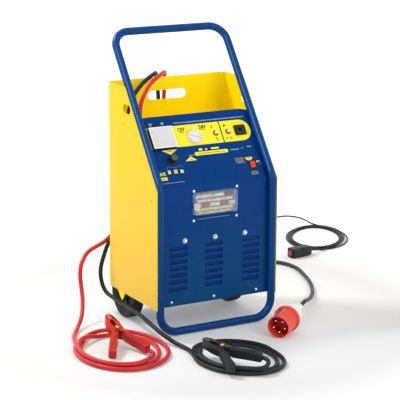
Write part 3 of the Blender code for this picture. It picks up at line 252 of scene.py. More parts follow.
M["remote"] = finish_of("remote_cord", (0.012, 0.017, 0.016), 0.44, 0.0, 0.35, 20, 0.14, 700, 0.00012, 0.35, spec=0.25)
M["handset"] = finish_of("handset_moulding", (0.017, 0.028, 0.026), 0.46, 0.0, 0.25, 25, 0.12, 600, 0.00014, 0.35, spec=0.25)
M["handset_red"] = finish_of("handset_button_red", (0.46, 0.010, 0.085), 0.36, 0.0, 0.12, 60, 0.10, 900, 0.00005)
M["needle"] = finish_of("needle_grey", (0.55, 0.53, 0.54), 0.40, 0.0, 0.10, 60)
M["dial"] = finish_of("dial_card", (0.97, 0.94, 0.95), 0.55, 0.0, 0.02, 12)
M["decal_yellow"] = finish_of("print_yellow", (0.93, 0.80, 0.006), 0.36, 0.0, 0.05, 14, 0.08, 500, 0.00005, 0.1, coat=0.2)
M["decal_pale"] = finish_of("print_pale_yellow", (0.72, 0.72, 0.20), 0.40, 0.0, 0.08, 60)
M["decal_white"] = finish_of("print_pale", (0.30, 0.38, 0.36), 0.45, 0.0, 0.15, 90)
M["decal_dim"] = finish_of("print_dim", (0.20, 0.27, 0.24), 0.45, 0.0, 0.25, 120)
M["decal_black"] = finish_of("print_black", (0.012, 0.013, 0.012), 0.42, 0.0, 0.20, 60)
M["decal_green"] = finish_of("print_green", (0.05, 0.20, 0.13), 0.42, 0.0, 0.20, 60)
M["lamp"] = finish_of("lamp_lens", (0.42, 0.56, 0.42), 0.16, 0.0, 0.10, 90, 0.06, coat=0.5)
M["clear"] = finish_of("clear_moulding", (0.96, 0.98, 0.97), 0.08, 0.0, 0.02, 30, 0.04, alpha=0.07)
M["lens"] = finish_of("meter_glass", (0.97, 0.95, 0.96), 0.12, 0.0, 0.01, 30, 0.03, transmission=0.45, ior=1.30)
M["fuse_metal"] = finish_of("fuse_metal", (0.58, 0.59, 0.57), 0.30, 0.55, 0.10, 40, 0.20, 150, 0.0003, 0.35, second=(0.30, 0.29, 0.25))
M["fuse_gold"] = finish_of("fuse_gold", (0.50, 0.42, 0.19), 0.30, 0.60, 0.10, 50, 0.20, 150, 0.0003, 0.35, second=(0.44, 0.42, 0.34))
M["fuse_back"] = finish_of("fuse_back", (0.15, 0.155, 0.15), 0.42, 0.2, 0.10, 45, 0.20, 150, 0.0002, 0.25, second=(0.06, 0.06, 0.057))
M["fuse_copper"] = finish_of("fuse_copper", (0.26, 0.08, 0.045), 0.38, 0.3, 0.35, 80, 0.20, 400, 0.0002)
# a darker copy of the panel enamel, as painted shade on the louvre vanes
M["blue_painted_shade"] = blue_enamel("blue_enamel_painted_shade", (0.0010, 0.032, 0.170))
# a lighter copy of the blue enamel, as a painted highlight on the lip under the fuse window
M["blue_painted_highlight"] = blue_enamel("blue_enamel_painted_highlight", (0.030, 0.200, 0.520))
# brown for the button collars, as painted shadow round the buttons
M["painted_shadow_brown"] = finish_of("button_collar_painted_shadow", (0.23, 0.11, 0.045), 0.35, 0.2, 0.2, 60)
M["dark_green"] = finish_of("socket_green_black", (0.020, 0.040, 0.028), 0.30, 0.0, 0.3, 60, 0.12, 700, 0.0001, 0.3)
M["decal_tan"] = finish_of("print_tan", (0.19, 0.17, 0.13), 0.45, 0.0, 0.25, 200)
M["dial_ink"] = finish_of("dial_ink", (0.56, 0.55, 0.57), 0.55, 0.0, 0.15, 200)
# near-black copper for the red clamp's pocket plate
M["jaw_dark"] = finish_of("jaw_near_black_copper", (0.050, 0.026, 0.012), 0.34, 0.5, 0.45, 120, 0.2, 500, 0.0002, 0.4)
M["dark"] = finish_of("dark_inside", (0.006, 0.007, 0.008), 0.65, 0.0, 0.30, 30)

PLAIN = {
    "tube_frame": "blue", "front_panel": "blue_panel", "case_shell": "yellow", "base_plate": "blue_panel", "tray_floor": "yellow",
    "axle_bracket_left": "yellow", "axle_bracket_right": "yellow", "fan_frame": "black", "fan_rotor": "black",
    "fuse_base": "dark", "meter_body": "black", "timer_knob": "black", "socket_block": "black", "rocker_frame": "black",
    "lead_gland_red": "black", "lead_gland_black": "black", "mains_gland": "black", "remote_gland": "black",
    "handset": "handset", "black_clamp_fixed_arm": "clamp_black", "black_clamp_moving_arm": "clamp_black",
    "contactor": "grey", "wheel_hub_left": "hub", "wheel_hub_right": "hub", "selector_knob": "ivory",
    "push_button_1": "button", "push_button_2": "button", "plug_rear": "plug_white", "meter_needle": "needle",
    "rocker": "rocker", "plug_shroud": "plug_red", "plug_insert": "plug_inner", "handset_button": "handset_red",
    "red_clamp_fixed_arm": "clamp_red", "red_clamp_moving_arm": "clamp_red", "axle": "zinc", "fuse_link": "fuse_metal",
    "core_bolt_1": "zinc", "core_bolt_2": "zinc", "core_bolt_3": "zinc", "panel_screw_1": "bright_zinc",
    "panel_screw_2": "bright_zinc", "panel_screw_3": "bright_zinc", "transformer_core": "core", "winding_left": "copper",
    "winding_centre": "copper", "winding_right": "copper", "rectifier_heatsink": "aluminium", "tyre_left": "tyre",
    "tyre_right": "tyre", "control_board": "board", "window_cover": "clear", "meter_lens": "lens",
    "red_lead": "lead_red", "red_coil": "lead_red", "black_lead": "lead_black", "black_coil": "lead_black",
    "mains_lead": "mains", "remote_lead": "remote", "remote_coil": "remote",
}
for node, key in PLAIN.items():
    o = frame["nodes"][node]
    o.data.materials.clear()
    o.data.materials.append(M[key])
SLOT = {s["node"]: s["material_slot"] for s in frame["record"].get("subparts", [])}


# ---------------------------------------------------------------- pieces
def add(data, name, mat, body="root", matrix=HOME, stands_for=(), slot=None, bevel=0.0, segments=2, smooth=None, subdiv=0):
    """Places a bmesh or curve as a piece that rides on a body."""
    if isinstance(data, bmesh.types.BMesh):
        bmesh.ops.recalc_face_normals(data, faces=data.faces)
        me = bpy.data.meshes.new(name)
        data.to_mesh(me)
        data.free()
        me.transform(matrix)
        data = me
        if smooth is not None:
            me.shade_smooth()
            if smooth < 180:
                me.set_sharp_from_angle(angle=math.radians(smooth))
    else:
        data.transform(matrix)
    o = bpy.data.objects.new(name, data)
    scene.collection.objects.link(o)
    data.materials.append(M[mat] if isinstance(mat, str) else mat)
    if bevel:
        b = o.modifiers.new("edge", "BEVEL")
        b.width = bevel
        b.segments = segments
        b.limit_method = "ANGLE"
        b.angle_limit = math.radians(35)
        b.harden_normals = False
    if subdiv:
        s = o.modifiers.new("fine", "SUBSURF")
        s.levels = s.render_levels = subdiv
    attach(o, body)
    if stands_for:
        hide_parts(*([stands_for] if isinstance(stands_for, str) else stands_for))
    first = stands_for if isinstance(stands_for, str) else (stands_for[0] if stands_for else None)
    slot = slot or SLOT.get(first)
    return o


def turned(profile, n=48, ring=False, axis="z", at=(0, 0, 0)):
    """A profile of (radius, height) turned round an axis."""
    put = {
        "z": lambda r, a, h: (r * math.cos(a), r * math.sin(a), h),
        "x": lambda r, a, h: (h, r * math.cos(a), r * math.sin(a)),
        "y": lambda r, a, h: (r * math.sin(a), h, r * math.cos(a)),
    }[axis]
    bm = bmesh.new()
    rows = []
    for r, h in profile:
        if r < 1e-9:
            rows.append([bm.verts.new(put(0.0, 0.0, h))])
        else:
            rows.append([bm.verts.new(put(r, 2 * math.pi * k / n, h)) for k in range(n)])
    pairs = list(zip(rows, rows[1:]))
    if ring:
        pairs.append((rows[-1], rows[0]))
    for low, high in pairs:
        for k in range(n):
            j = (k + 1) % n
            if len(low) == 1:
                bm.faces.new([low[0], high[k], high[j]])
            elif len(high) == 1:
                bm.faces.new([low[k], high[0], low[j]])
            else:
                bm.faces.new([low[k], high[k], high[j], low[j]])
    bmesh.ops.translate(bm, vec=Vector(at), verts=bm.verts)
    return bm


def soften(profile, radius=0.0008, steps=3):
    """Rounds the corners of an open profile."""
    p = [Vector((a, b)) for a, b in profile]
    out = [p[0]]
    for i in range(1, len(p) - 1):
        a, b = p[i - 1] - p[i], p[i + 1] - p[i]
        r = min(radius, a.length * 0.4, b.length * 0.4)
        s, e = p[i] + a.normalized() * r, p[i] + b.normalized() * r
        for k in range(steps + 1):
            t = k / steps
            out.append(s * (1 - t) ** 2 + p[i] * 2 * t * (1 - t) + e * t ** 2)
    out.append(p[-1])
    return [(q.x, q.y) for q in out]


def round_outline(points, radius, steps=6):
    """A closed outline with rounded corners; radius may be a list."""
    p = [Vector(q) for q in points]
    n = len(p)
    out = []
    for i in range(n):
        r = radius[i] if isinstance(radius, (list, tuple)) else radius
        a, b = p[i - 1] - p[i], p[(i + 1) % n] - p[i]
        if r <= 0:
            out.append((p[i].x, p[i].y))
            continue
        half = a.angle(b) / 2
        t = min(r / math.tan(half), a.length * 0.499, b.length * 0.499)
        r = t * math.tan(half)
        s, e = p[i] + a.normalized() * t, p[i] + b.normalized() * t
        c = p[i] + (a.normalized() + b.normalized()).normalized() * (r / math.sin(half))
        vs, ve = s - c, e - c
        sweep = vs.angle(ve)
        for k in range(steps + 1):
            f = k / steps
            q = c + vs * (math.sin((1 - f) * sweep) / math.sin(sweep)) + ve * (math.sin(f * sweep) / math.sin(sweep))
            out.append((q.x, q.y))
    return out


def circle(x, y, r, n=24, turn=0.0):
    return [(x + r * math.cos(turn + 2 * math.pi * k / n), y + r * math.sin(turn + 2 * math.pi * k / n)) for k in range(n)]


def rectangle(x0, x1, y0, y1):
    return [(x0, y0), (x1, y0), (x1, y1), (x0, y1)]


def stadium(x, y, half, r, steps=12):
    pts = []
    for k in range(steps + 1):
        a = -math.pi / 2 + math.pi * k / steps
        pts.append((x + half - r + r * math.cos(a), y + r * math.sin(a)))
    for k in range(steps + 1):
        a = math.pi / 2 + math.pi * k / steps
        pts.append((x - half + r + r * math.cos(a), y + r * math.sin(a)))
    return pts


def skin(regions, front, back):
    """A closed sheet between two skins over flat regions with holes."""
    bm = bmesh.new()
    verts = {}

    def vert(side, p):
        key = (side, round(p[0], 6), round(p[1], 6))
        if key not in verts:
            verts[key] = bm.verts.new((front if side else back)(p[0], p[1]))
        return verts[key]

    edges = set()
    for outer, holes in regions:
        loops = [outer, *holes]
        flat = [p for loop in loops for p in loop]
        for t in tessellate_polygon([[Vector((p[0], p[1], 0.0)) for p in loop] for loop in loops]):
            a, b, c = (flat[i] for i in t)
            area = (b[0] - a[0]) * (c[1] - a[1]) - (b[1] - a[1]) * (c[0] - a[0])
            if abs(area) < 1e-13:
                continue
            if area < 0:
                b, c = c, b
            bm.faces.new([vert(1, a), vert(1, b), vert(1, c)])
            bm.faces.new([vert(0, c), vert(0, b), vert(0, a)])
            for e in ((a, b), (b, c), (c, a)):
                edges.add(tuple((round(q[0], 6), round(q[1], 6)) for q in e))
    for p, q in edges:
        if (q, p) not in edges:
            bm.faces.new([vert(1, q), vert(1, p), vert(0, p), vert(0, q)])
    return bm


def prism(loop, low, high, axis="z", holes=()):
    put = {
        "z": lambda u, v, w: (u, v, w),
        "y": lambda u, v, w: (u, w, v),
        "x": lambda u, v, w: (w, u, v),
    }[axis]
    return skin([(loop, list(holes))], lambda u, v: put(u, v, high), lambda u, v: put(u, v, low))


def cake(loop, low, high, edge, axis="z", steps=3):
    """A prism whose top edge is rounded inwards; the loop is convex."""
    put = {
        "z": lambda u, v, w: (u, v, w),
        "y": lambda u, v, w: (u, w, v),
        "x": lambda u, v, w: (w, u, v),
    }[axis]
    n = len(loop)
    mid = Vector((sum(p[0] for p in loop) / n, sum(p[1] for p in loop) / n))
    pts = [Vector(p) for p in loop]
    inward = []
    for i in range(n):
        a = (pts[i] - pts[i - 1]).normalized()
        b = (pts[(i + 1) % n] - pts[i]).normalized()
        d = Vector((-(a.y + b.y), a.x + b.x))
        if d.length < 1e-9:
            d = mid - pts[i]
        d.normalize()
        if d.dot(mid - pts[i]) < 0:
            d = -d
        inward.append(d)
    bm = bmesh.new()
    sign = 1 if high > low else -1
    rows = [[bm.verts.new(put(p.x, p.y, low)) for p in pts]]
    for k in range(steps + 1):
        a = math.pi / 2 * k / steps
        rows.append([bm.verts.new(put(*(p + d * edge * (1 - math.cos(a))), high - sign * edge * (1 - math.sin(a)))) for p, d in zip(pts, inward)])
    for r0, r1 in zip(rows, rows[1:]):
        for i in range(n):
            j = (i + 1) % n
            bm.faces.new([r0[i], r0[j], r1[j], r1[i]])
    bm.faces.new(rows[0])
    bm.faces.new(rows[-1])
    return bm


def join(*parts):
    bm = bmesh.new()
    for part in parts:
        me = bpy.data.meshes.new("part")
        part.to_mesh(me)
        part.free()
        bm.from_mesh(me)
        bpy.data.meshes.remove(me)
    return bm


def moved(bm, matrix):
    bm.transform(matrix)
    return bm


def catmull(points, per=12, straight=0.0):
    """Points on a smooth centripetal curve through the given ones."""
    p = [Vector(q) for q in points]
    p = [p[0] * 2 - p[1], *p, p[-1] * 2 - p[-2]]
    out = []
    for i in range(1, len(p) - 2):
        t = [0.0]
        for a, b in zip(p[i - 1:i + 2], p[i:i + 3]):
            t.append(t[-1] + max((b - a).length, 1e-6) ** 0.5)
        for k in range(per):
            u = t[1] + (t[2] - t[1]) * k / per
            a1 = p[i - 1] * ((t[1] - u) / (t[1] - t[0])) + p[i] * ((u - t[0]) / (t[1] - t[0]))
            a2 = p[i] * ((t[2] - u) / (t[2] - t[1])) + p[i + 1] * ((u - t[1]) / (t[2] - t[1]))
            a3 = p[i + 1] * ((t[3] - u) / (t[3] - t[2])) + p[i + 2] * ((u - t[2]) / (t[3] - t[2]))
            b1 = a1 * ((t[2] - u) / (t[2] - t[0])) + a2 * ((u - t[0]) / (t[2] - t[0]))
            b2 = a2 * ((t[3] - u) / (t[3] - t[1])) + a3 * ((u - t[1]) / (t[3] - t[1]))
            out.append(b1 * ((t[2] - u) / (t[2] - t[1])) + b2 * ((u - t[1]) / (t[2] - t[1])))
    out.append(p[-2])
    return out


def resample(points, step):
    lengths = [0.0]
    for a, b in zip(points, points[1:]):
        lengths.append(lengths[-1] + (b - a).length)
    count = max(2, round(lengths[-1] / step) + 1)
    out, j = [], 0
    for k in range(count):
        want = lengths[-1] * k / (count - 1)
        while j < len(lengths) - 2 and lengths[j + 1] < want:
            j += 1
        span = max(lengths[j + 1] - lengths[j], 1e-9)
        out.append(points[j].lerp(points[j + 1], min(1.0, (want - lengths[j]) / span)))
    out[0], out[-1] = points[0].copy(), points[-1].copy()
    return out


def line(points, diameter, sides=5, cyclic=False, caps=True):
    cu = bpy.data.curves.new("line", "CURVE")
    cu.dimensions = "3D"
    cu.bevel_depth = diameter / 2
    cu.bevel_resolution = sides
    cu.use_fill_caps = caps and not cyclic
    cu.twist_mode = "MINIMUM"
    s = cu.splines.new("POLY")
    s.points.add(len(points) - 1)
    for q, p in zip(s.points, points):
        q.co = (p[0], p[1], p[2], 1.0)
    s.use_cyclic_u = cyclic
    s.use_smooth = True
    return cu


def hose(points, radius, n=20, closed=False, caps=True):
    """A round bar along points, as a mesh; radius is one number or one per point."""
    pts = [Vector(p) for p in points]
    m = len(pts)
    bm = bmesh.new()
    tangents = []
    for i in range(m):
        a = pts[(i - 1) % m] if (closed or i > 0) else pts[i]
        b = pts[(i + 1) % m] if (closed or i < m - 1) else pts[i]
        tangents.append((b - a).normalized())
    ref = Vector((0, 0, 1)) if abs(tangents[0].z) < 0.9 else Vector((1, 0, 0))
    u = (ref - tangents[0] * ref.dot(tangents[0])).normalized()
    frames = [u]
    for i in range(1, m):
        u = (u - tangents[i] * u.dot(tangents[i])).normalized()
        frames.append(u)
    rows = []
    for i in range(m):
        v = tangents[i].cross(frames[i])
        r = radius[i] if isinstance(radius, (list, tuple)) else radius
        rows.append([bm.verts.new(pts[i] + (frames[i] * math.cos(2 * math.pi * k / n) + v * math.sin(2 * math.pi * k / n)) * r) for k in range(n)])
    shift = 0
    if closed:
        best = 1e9
        for s in range(n):
            d = (rows[-1][0].co - rows[0][s].co).length
            if d < best:
                best, shift = d, s
    pairs = [(rows[i], rows[i + 1], 0) for i in range(m - 1)] + ([(rows[-1], rows[0], shift)] if closed else [])
    for a, b, s in pairs:
        for k in range(n):
            j = (k + 1) % n
            bm.faces.new([a[k], a[j], b[(j + s) % n], b[(k + s) % n]])
    if caps and not closed:
        bm.faces.new(rows[0])
        bm.faces.new(rows[-1])
    return bm


# ---------------------------------------------------------------- camera
AZ, EL, ROLL = math.radians(-29.48337), math.radians(13.66047), math.radians(0.35344)
back = Vector((math.sin(AZ) * math.cos(EL), -math.cos(AZ) * math.cos(EL), math.sin(EL)))
right = Vector((math.cos(AZ), math.sin(AZ), 0.0))
up = back.cross(right)
cam_right = right * math.cos(ROLL) + up * math.sin(ROLL)
cam_up = up * math.cos(ROLL) - right * math.sin(ROLL)
camera = bpy.data.objects.new("camera", bpy.data.cameras.new("camera"))
camera.data.lens = 1624.607 * 36.0 / 400.0
camera.data.sensor_width = 36.0
camera.data.sensor_fit = "HORIZONTAL"
camera.data.clip_end = 60.0
cam_m = Matrix((cam_right, cam_up, back)).transposed().to_4x4()
cam_m.translation = Vector((-2.44829, -4.38173, 1.60175))
camera.matrix_world = cam_m
scene.collection.objects.link(camera)
scene.camera = camera


# ---------------------------------------------------------------- cords
def keyed(keys, at):
    """A smooth value through (angle, value, ...) keys."""
    i = 0
    while i < len(keys) - 2 and keys[i + 1][0] <= at:
        i += 1
    k0, k1, k2, k3 = keys[max(i - 1, 0)], keys[i], keys[i + 1], keys[min(i + 2, len(keys) - 1)]
    h = k2[0] - k1[0]
    t = min(max((at - k1[0]) / h, 0.0), 1.0)
    out = []
    for c in range(1, len(k1)):
        m1 = (k2[c] - k0[c]) / max(k2[0] - k0[0], 1e-9) * h
        m2 = (k3[c] - k1[c]) / max(k3[0] - k1[0], 1e-9) * h
        out.append((2 * t ** 3 - 3 * t ** 2 + 1) * k1[c] + (t ** 3 - 2 * t ** 2 + t) * m1 + (3 * t ** 2 - 2 * t ** 3) * k2[c] + (t ** 3 - t ** 2) * m2)
    return out


def coil(oval, keys, step=8.0):
    """Turns of cord along an oval. A key is (angle in degrees, mm inwards from the outermost
    turn, mm of height); the angles rise, or fall for a coil wound the other way."""
    cx, cy, a, b, tilt = oval
    first, last = keys[0][0], keys[-1][0]
    s = 1.0 if last > first else -1.0
    ks = [(k[0] * s, k[1] / 1000.0, k[2] / 1000.0) for k in keys]
    n = round(abs(last - first) / step)
    out = []
    for i in range(n + 1):
        phi = first + (last - first) * i / n
        d, z = keyed(ks, phi * s)
        t = math.radians(phi)
        u, w = a * math.cos(t), b * math.sin(t)
        nu, nw = math.cos(t) / a, math.sin(t) / b
        size = math.hypot(nu, nw)
        u, w = u - nu / size * d, w - nw / size * d
        out.append(Vector((cx + u * math.cos(tilt) - w * math.sin(tilt), cy + u * math.sin(tilt) + w * math.cos(tilt), z)))
    return out


def home(points):
    return [Vector((p[0], p[1] - MID_Y, p[2])) for p in points]


def lay_cord(name, points, diameter, mat, nodes, sides=6):
    pts = home(resample(catmull(points, 6), max(0.0035, diameter * 0.45)))
    o = add(line(pts, diameter, sides), name, mat, "root", Matrix.Identity(4), nodes)
    return o


LEAD_D, MAINS_D, REMOTE_D = 0.0135, 0.013, 0.0055
FL = LEAD_D / 2 + 0.0008
red_route = [
    (-0.1480, 0.2350, 0.6319), (-0.1480, 0.2350, 0.6539),
    (-0.1410, 0.2410, 0.6900), (-0.1160, 0.2540, 0.7290), (-0.0850, 0.2690, 0.7530),
    (-0.0530, 0.2880, 0.7650), (-0.0270, 0.3110, 0.7697), (-0.0060, 0.3345, 0.7675),
    (0.0003, 0.3480, 0.7495), (0.0000, 0.3490, 0.7100), (-0.0080, 0.3550, 0.6000),
    (-0.0380, 0.3590, 0.5000), (-0.0900, 0.3600, 0.3850), (-0.1500, 0.3610, 0.2850),
    (-0.2080, 0.3600, 0.2290), (-0.2850, 0.3330, 0.2060), (-0.3200, 0.3080, 0.1800),
    (-0.3300, 0.3000, 0.1450), (-0.3310, 0.2900, 0.1060), (-0.3400, 0.2620, 0.0700),
    (-0.3620, 0.2240, 0.0330), (-0.3920, 0.1880, 0.0120), (-0.4180, 0.1520, FL), (-0.4390, 0.1180, FL),
]
RED_OVAL = (-0.3676, -0.0646, 0.13525, 0.17525, math.radians(-10.5))
red_turns = [
    (150, 0, 7.6), (180, 0, 7.6), (240, 0, 7.6), (300, 0, 7.6), (340, -3, 7.6), (380, -3, 7.6), (420, -6, 9), (450, -7, 13),
    (480, 0, 10), (502, 15, 7.6), (540, 14.8, 7.6), (600, 14.8, 7.6), (660, 20, 7.6), (700, 26, 7.6), (740, 22, 7.6),
    (780, 22, 7.6), (810, 26, 7.6), (832, 26, 10), (850, 22, 19), (866, 14, 23), (885, 8.5, 21.4), (905, 7.3, 20),
    (960, 7.4, 20), (990, 10, 21), (1005, 17, 22.6), (1020, 28, 20), (1031, 37, 13.5), (1040, 42, 9.5),
]
red_end = [(-0.3045, -0.1515, 0.0092), (-0.2986, -0.1385, 0.0102), (-0.3064, -0.1199, 0.0149)]
black_route = [
    (-0.1630, 0.2830, 0.6319), (-0.1630, 0.2830, 0.6539),
    (-0.1580, 0.2800, 0.6800), (-0.1450, 0.2790, 0.7140), (-0.1190, 0.2800, 0.7440),
    (-0.0890, 0.2890, 0.7615), (-0.0610, 0.3080, 0.7690), (-0.0390, 0.3340, 0.7672),
    (-0.0295, 0.3475, 0.7490), (-0.0245, 0.3475, 0.7100), (-0.0240, 0.3430, 0.6000),
    (-0.0480, 0.3410, 0.5000), (-0.0960, 0.3410, 0.3900), (-0.1560, 0.3410, 0.2900),
    (-0.2060, 0.3415, 0.2280), (-0.2250, 0.3440, 0.1800), (-0.2300, 0.3560, 0.1350),
    (-0.2310, 0.3500, 0.1000), (-0.2280, 0.3260, 0.0690), (-0.2200, 0.2850, 0.0560),
    (-0.2150, 0.2350, 0.0510), (-0.2150, 0.1840, 0.0505), (-0.2170, 0.1200, 0.0495),
    (-0.2200, 0.0740, 0.0470), (-0.2215, 0.0300, 0.0425), (-0.2215, 0.0000, 0.0380),
    (-0.2190, -0.0300, 0.0315), (-0.2110, -0.0600, 0.0225), (-0.2000, -0.0920, 0.0125),
    (-0.1910, -0.1240, 0.0085), (-0.1885, -0.1650, FL),
]
BLACK_OVAL = (-0.0998, -0.2923, 0.11225, 0.15025, math.radians(19.2))
black_turns = [
    (140, 8, 7.6), (160, 2, 7.6), (190, -5, 7.6), (227, -4, 7.6), (270, -2, 7.6), (322, -8, 7.6), (345, -12, 9), (357, -16, 12),
    (380, -18, 13), (420, -14, 11), (450, -8, 8), (470, 4, 7.6), (485, 14, 7.6), (500, 23, 7.6), (520, 17, 7.6), (550, 10, 7.6),
    (587, 11, 7.6), (630, 14, 7.6), (668, 15, 7.6), (682, 12, 7.6), (717, 3, 7.6), (740, 0, 7.6), (780, 3, 7.6), (810, 8, 8),
    (830, 20, 9), (845, 28.5, 17.5), (860, 22, 23.2), (880, 11, 22), (910, 2.5, 20), (935, 3, 20.4),
]
black_end = [
    (-0.1102, -0.4400, 0.0226), (-0.0973, -0.4442, 0.0250), (-0.0838, -0.4406, 0.0285), (-0.0739, -0.4307, 0.0325),
    (-0.0703, -0.4172, 0.0365), (-0.0755, -0.4013, 0.0390),
]
FM = MAINS_D / 2 + 0.0008
plug_face = Vector((0.117, -0.178, 0.0366))
plug_dir = Vector((0.801, 0.593, 0.0800)).normalized()
plug_end = plug_face + plug_dir * 0.190
mains_route = [
    (0.120, 0.3683, 0.160), (0.120, 0.392, 0.160), (0.126, 0.420, 0.140), (0.140, 0.447, 0.095), (0.158, 0.468, 0.050),
    (0.182, 0.488, 0.018), (0.222, 0.512, FM), (0.285, 0.545, FM), (0.360, 0.573, FM), (0.450, 0.583, FM), (0.528, 0.566, FM),
    (0.572, 0.520, FM), (0.583, 0.450, FM), (0.562, 0.365, FM), (0.527, 0.270, FM), (0.477, 0.177, FM + 0.001),
    (0.418, 0.096, 0.018), (0.362, 0.030, 0.033),
    tuple(plug_end + plug_dir * 0.045), tuple(plug_end + plug_dir * 0.020), tuple(plug_end - plug_dir * 0.040), tuple(plug_end - plug_dir * 0.100),
]
FR = REMOTE_D / 2 + 0.0008
remote_route = [
    (0.170, 0.3583, 0.200), (0.170, 0.374, 0.200), (0.172, 0.394, 0.180), (0.176, 0.410, 0.130), (0.182, 0.424, 0.075),
    (0.190, 0.446, 0.030), (0.203, 0.480, 0.0200), (0.222, 0.520, 0.0195), (0.245, 0.560, 0.0110), (0.300, 0.650, FR),
    (0.385, 0.775, FR), (0.500, 0.900, FR), (0.640, 1.000, FR), (0.780, 1.070, FR), (0.890, 1.105, FR),
    (0.960, 1.105, FR), (0.990, 1.065, FR), (0.992, 1.005, FR), (0.985, 0.955, FR),
]
REMOTE_OVAL = (0.8780, 0.7700, 0.17025, 0.11025, math.radians(56.6))
remote_turns = [(-30, 0, 3.7)]
for k, (d, z) in enumerate([(0.5, 3.7), (7.0, 3.7), (13.6, 3.7), (20.2, 3.7), (16.8, 8.9), (10.2, 8.9), (3.6, 9.0)]):
    start = -30 - 360 * k
    for j, wave in ((0, 0.0), (70, -1.6 if k else 0.0), (140, -0.6), (215, 1.2), (290, 0.4)):
        a = start - j
        if a < -30:
            extra = -13.0 if (k == 0 and j == 70) else 0.0
            remote_turns.append((a, d + wave * (1 + 0.35 * k) * 0.5 + extra, z))
remote_turns = [t for t in remote_turns if t[0] > -30 - 360 * 6.45]
remote_turns += [(-30 - 360 * 6 - 100, 3.6, 9.0), (-30 - 360 * 6 - 122, -4.0, 8.0)]
handset_m = Matrix.Translation((0.648, 0.5814, 0.0185)) @ Matrix.Rotation(math.radians(8.8), 4, "Z")
hs = [tuple(handset_m @ Vector((x, y, z))) for x, y, z in ((0.150, -0.002, -0.0120), (0.132, 0.0, -0.004), (0.1124, 0.0, 0.0), (0.0700, 0.0, 0.0))]

# ---------------------------------------------------------------- helpers for solid pieces
def slab(loop, low, high, axis="z"):
    """An outline extruded along an axis, with one face on each end, for bevelling."""
    put = {
        "z": lambda u, v, w: (u, v, w),
        "y": lambda u, v, w: (u, w, v),
        "x": lambda u, v, w: (w, u, v),
    }[axis]
    bm = bmesh.new()
    a = [bm.verts.new(put(u, v, low)) for u, v in loop]
    b = [bm.verts.new(put(u, v, high)) for u, v in loop]
    n = len(loop)
    bm.faces.new(a)
    bm.faces.new(b)
    for i in range(n):
        j = (i + 1) % n
        bm.faces.new([a[i], a[j], b[j], b[i]])
    return bm


def block(x0, x1, y0, y1, z0, z1):
    return slab(rectangle(x0, x1, y0, y1), z0, z1)


def frame_ring(outer, inner, low, high, axis="z"):
    return prism(outer, low, high, axis, [inner])


def rounded_path(points, radii, steps=12):
    pts = [Vector(p) for p in points]
    n = len(pts)
    out = []
    for i, p in enumerate(pts):
        r = radii[i]
        a = (pts[i - 1] - p).normalized()
        b = (pts[(i + 1) % n] - p).normalized()
        half = math.acos(max(-1.0, min(1.0, a.dot(b)))) / 2
        t = r / math.tan(half)
        centre = p + (a + b).normalized() * (r / math.sin(half))
        s, e = p + a * t - centre, p + b * t - centre
        sweep = s.angle(e)
        for k in range(steps + 1):
            f = k / steps
            out.append(centre + s * (math.sin((1 - f) * sweep) / math.sin(sweep)) + e * (math.sin(f * sweep) / math.sin(sweep)))
    return out


def glyphs(text, x, y, height, low, high, turn=0.0, bold=0.0):
    """Plain digits and letters as thin raised print, centred on a point."""
    cu = bpy.data.curves.new("glyphs", "FONT")
    cu.body = text
    cu.size = height / 0.7
    cu.align_x = "CENTER"
    cu.align_y = "CENTER"
    cu.extrude = 0.5
    cu.offset = bold
    cu.resolution_u = 4
    o = bpy.data.objects.new("glyphs", cu)
    scene.collection.objects.link(o)
    bpy.context.view_layer.update()
    me = bpy.data.meshes.new_from_object(o.evaluated_get(bpy.context.evaluated_depsgraph_get()))
    bpy.data.objects.remove(o, do_unlink=True)
    bm = bmesh.new()
    bm.from_mesh(me)
    bpy.data.meshes.remove(me)
    bmesh.ops.remove_doubles(bm, verts=bm.verts, dist=1e-6)
    for v in bm.verts:
        v.co.z = high if v.co.z > 0 else low
    c, s = math.cos(turn), math.sin(turn)
    for v in bm.verts:
        v.co.x, v.co.y = x + v.co.x * c - v.co.y * s, y + v.co.x * s + v.co.y * c
    return bm


def dashes(x0, x1, v, height, low=0.0001, high=0.0003, seed=1, slope=0.0, gap=(0.0008, 0.0016), wide=(0.0016, 0.0042)):
    """A row of short printed dashes of uneven length."""
    parts, x, s = [], x0, seed
    while x < x1:
        s = (s * 1103515245 + 12345) % 2147483648
        w = wide[0] + (wide[1] - wide[0]) * (s / 2147483648)
        s = (s * 1103515245 + 12345) % 2147483648
        g = gap[0] + (gap[1] - gap[0]) * (s / 2147483648)
        h = height * (0.72 + 0.28 * ((s >> 8) % 100) / 100)
        e = min(x + w, x1)
        parts.append(slab(rectangle(x, e, v + slope * (x - x0) - h / 2, v + slope * (x - x0) + h / 2), low, high))
        x = e + g
    return join(*parts)


# ---------------------------------------------------------------- tube frame
path = rounded_path(
    [(-FRAME_X, 0, TUBE_R), (FRAME_X, 0, TUBE_R), (FRAME_X, 0, BEND_Z), (FRAME_X, TOP_Y, TOP_Z), (-FRAME_X, TOP_Y, TOP_Z), (-FRAME_X, 0, BEND_Z)],
    [0.060, 0.060, 0.080, 0.055, 0.055, 0.080], 16,
)
add(hose(path, TUBE_R, 40, closed=True), "bent_tube_frame", "blue", stands_for="tube_frame", smooth=180)

# ---------------------------------------------------------------- yellow case
CASE_X, CASE_T, CASE_BACK, CASE_LOW, CASE_TOP, CASE_BEND, CASE_FRONT = 0.2145, 0.0017, 0.332, 0.089, 0.755, 0.018, -0.006
side_len = CASE_BACK - CASE_BEND - CASE_FRONT
bend_len = CASE_BEND * math.pi / 2
back_len = 2 * (CASE_X - CASE_BEND)
lean_off = OUT * 0.003 + Vector((0, 0, BEND_Z))
fold_z = lean_off.z + LEAN.z * (CASE_FRONT - lean_off.y) / LEAN.y
top_y = lean_off.y + LEAN.y * (CASE_TOP - lean_off.z) / LEAN.z


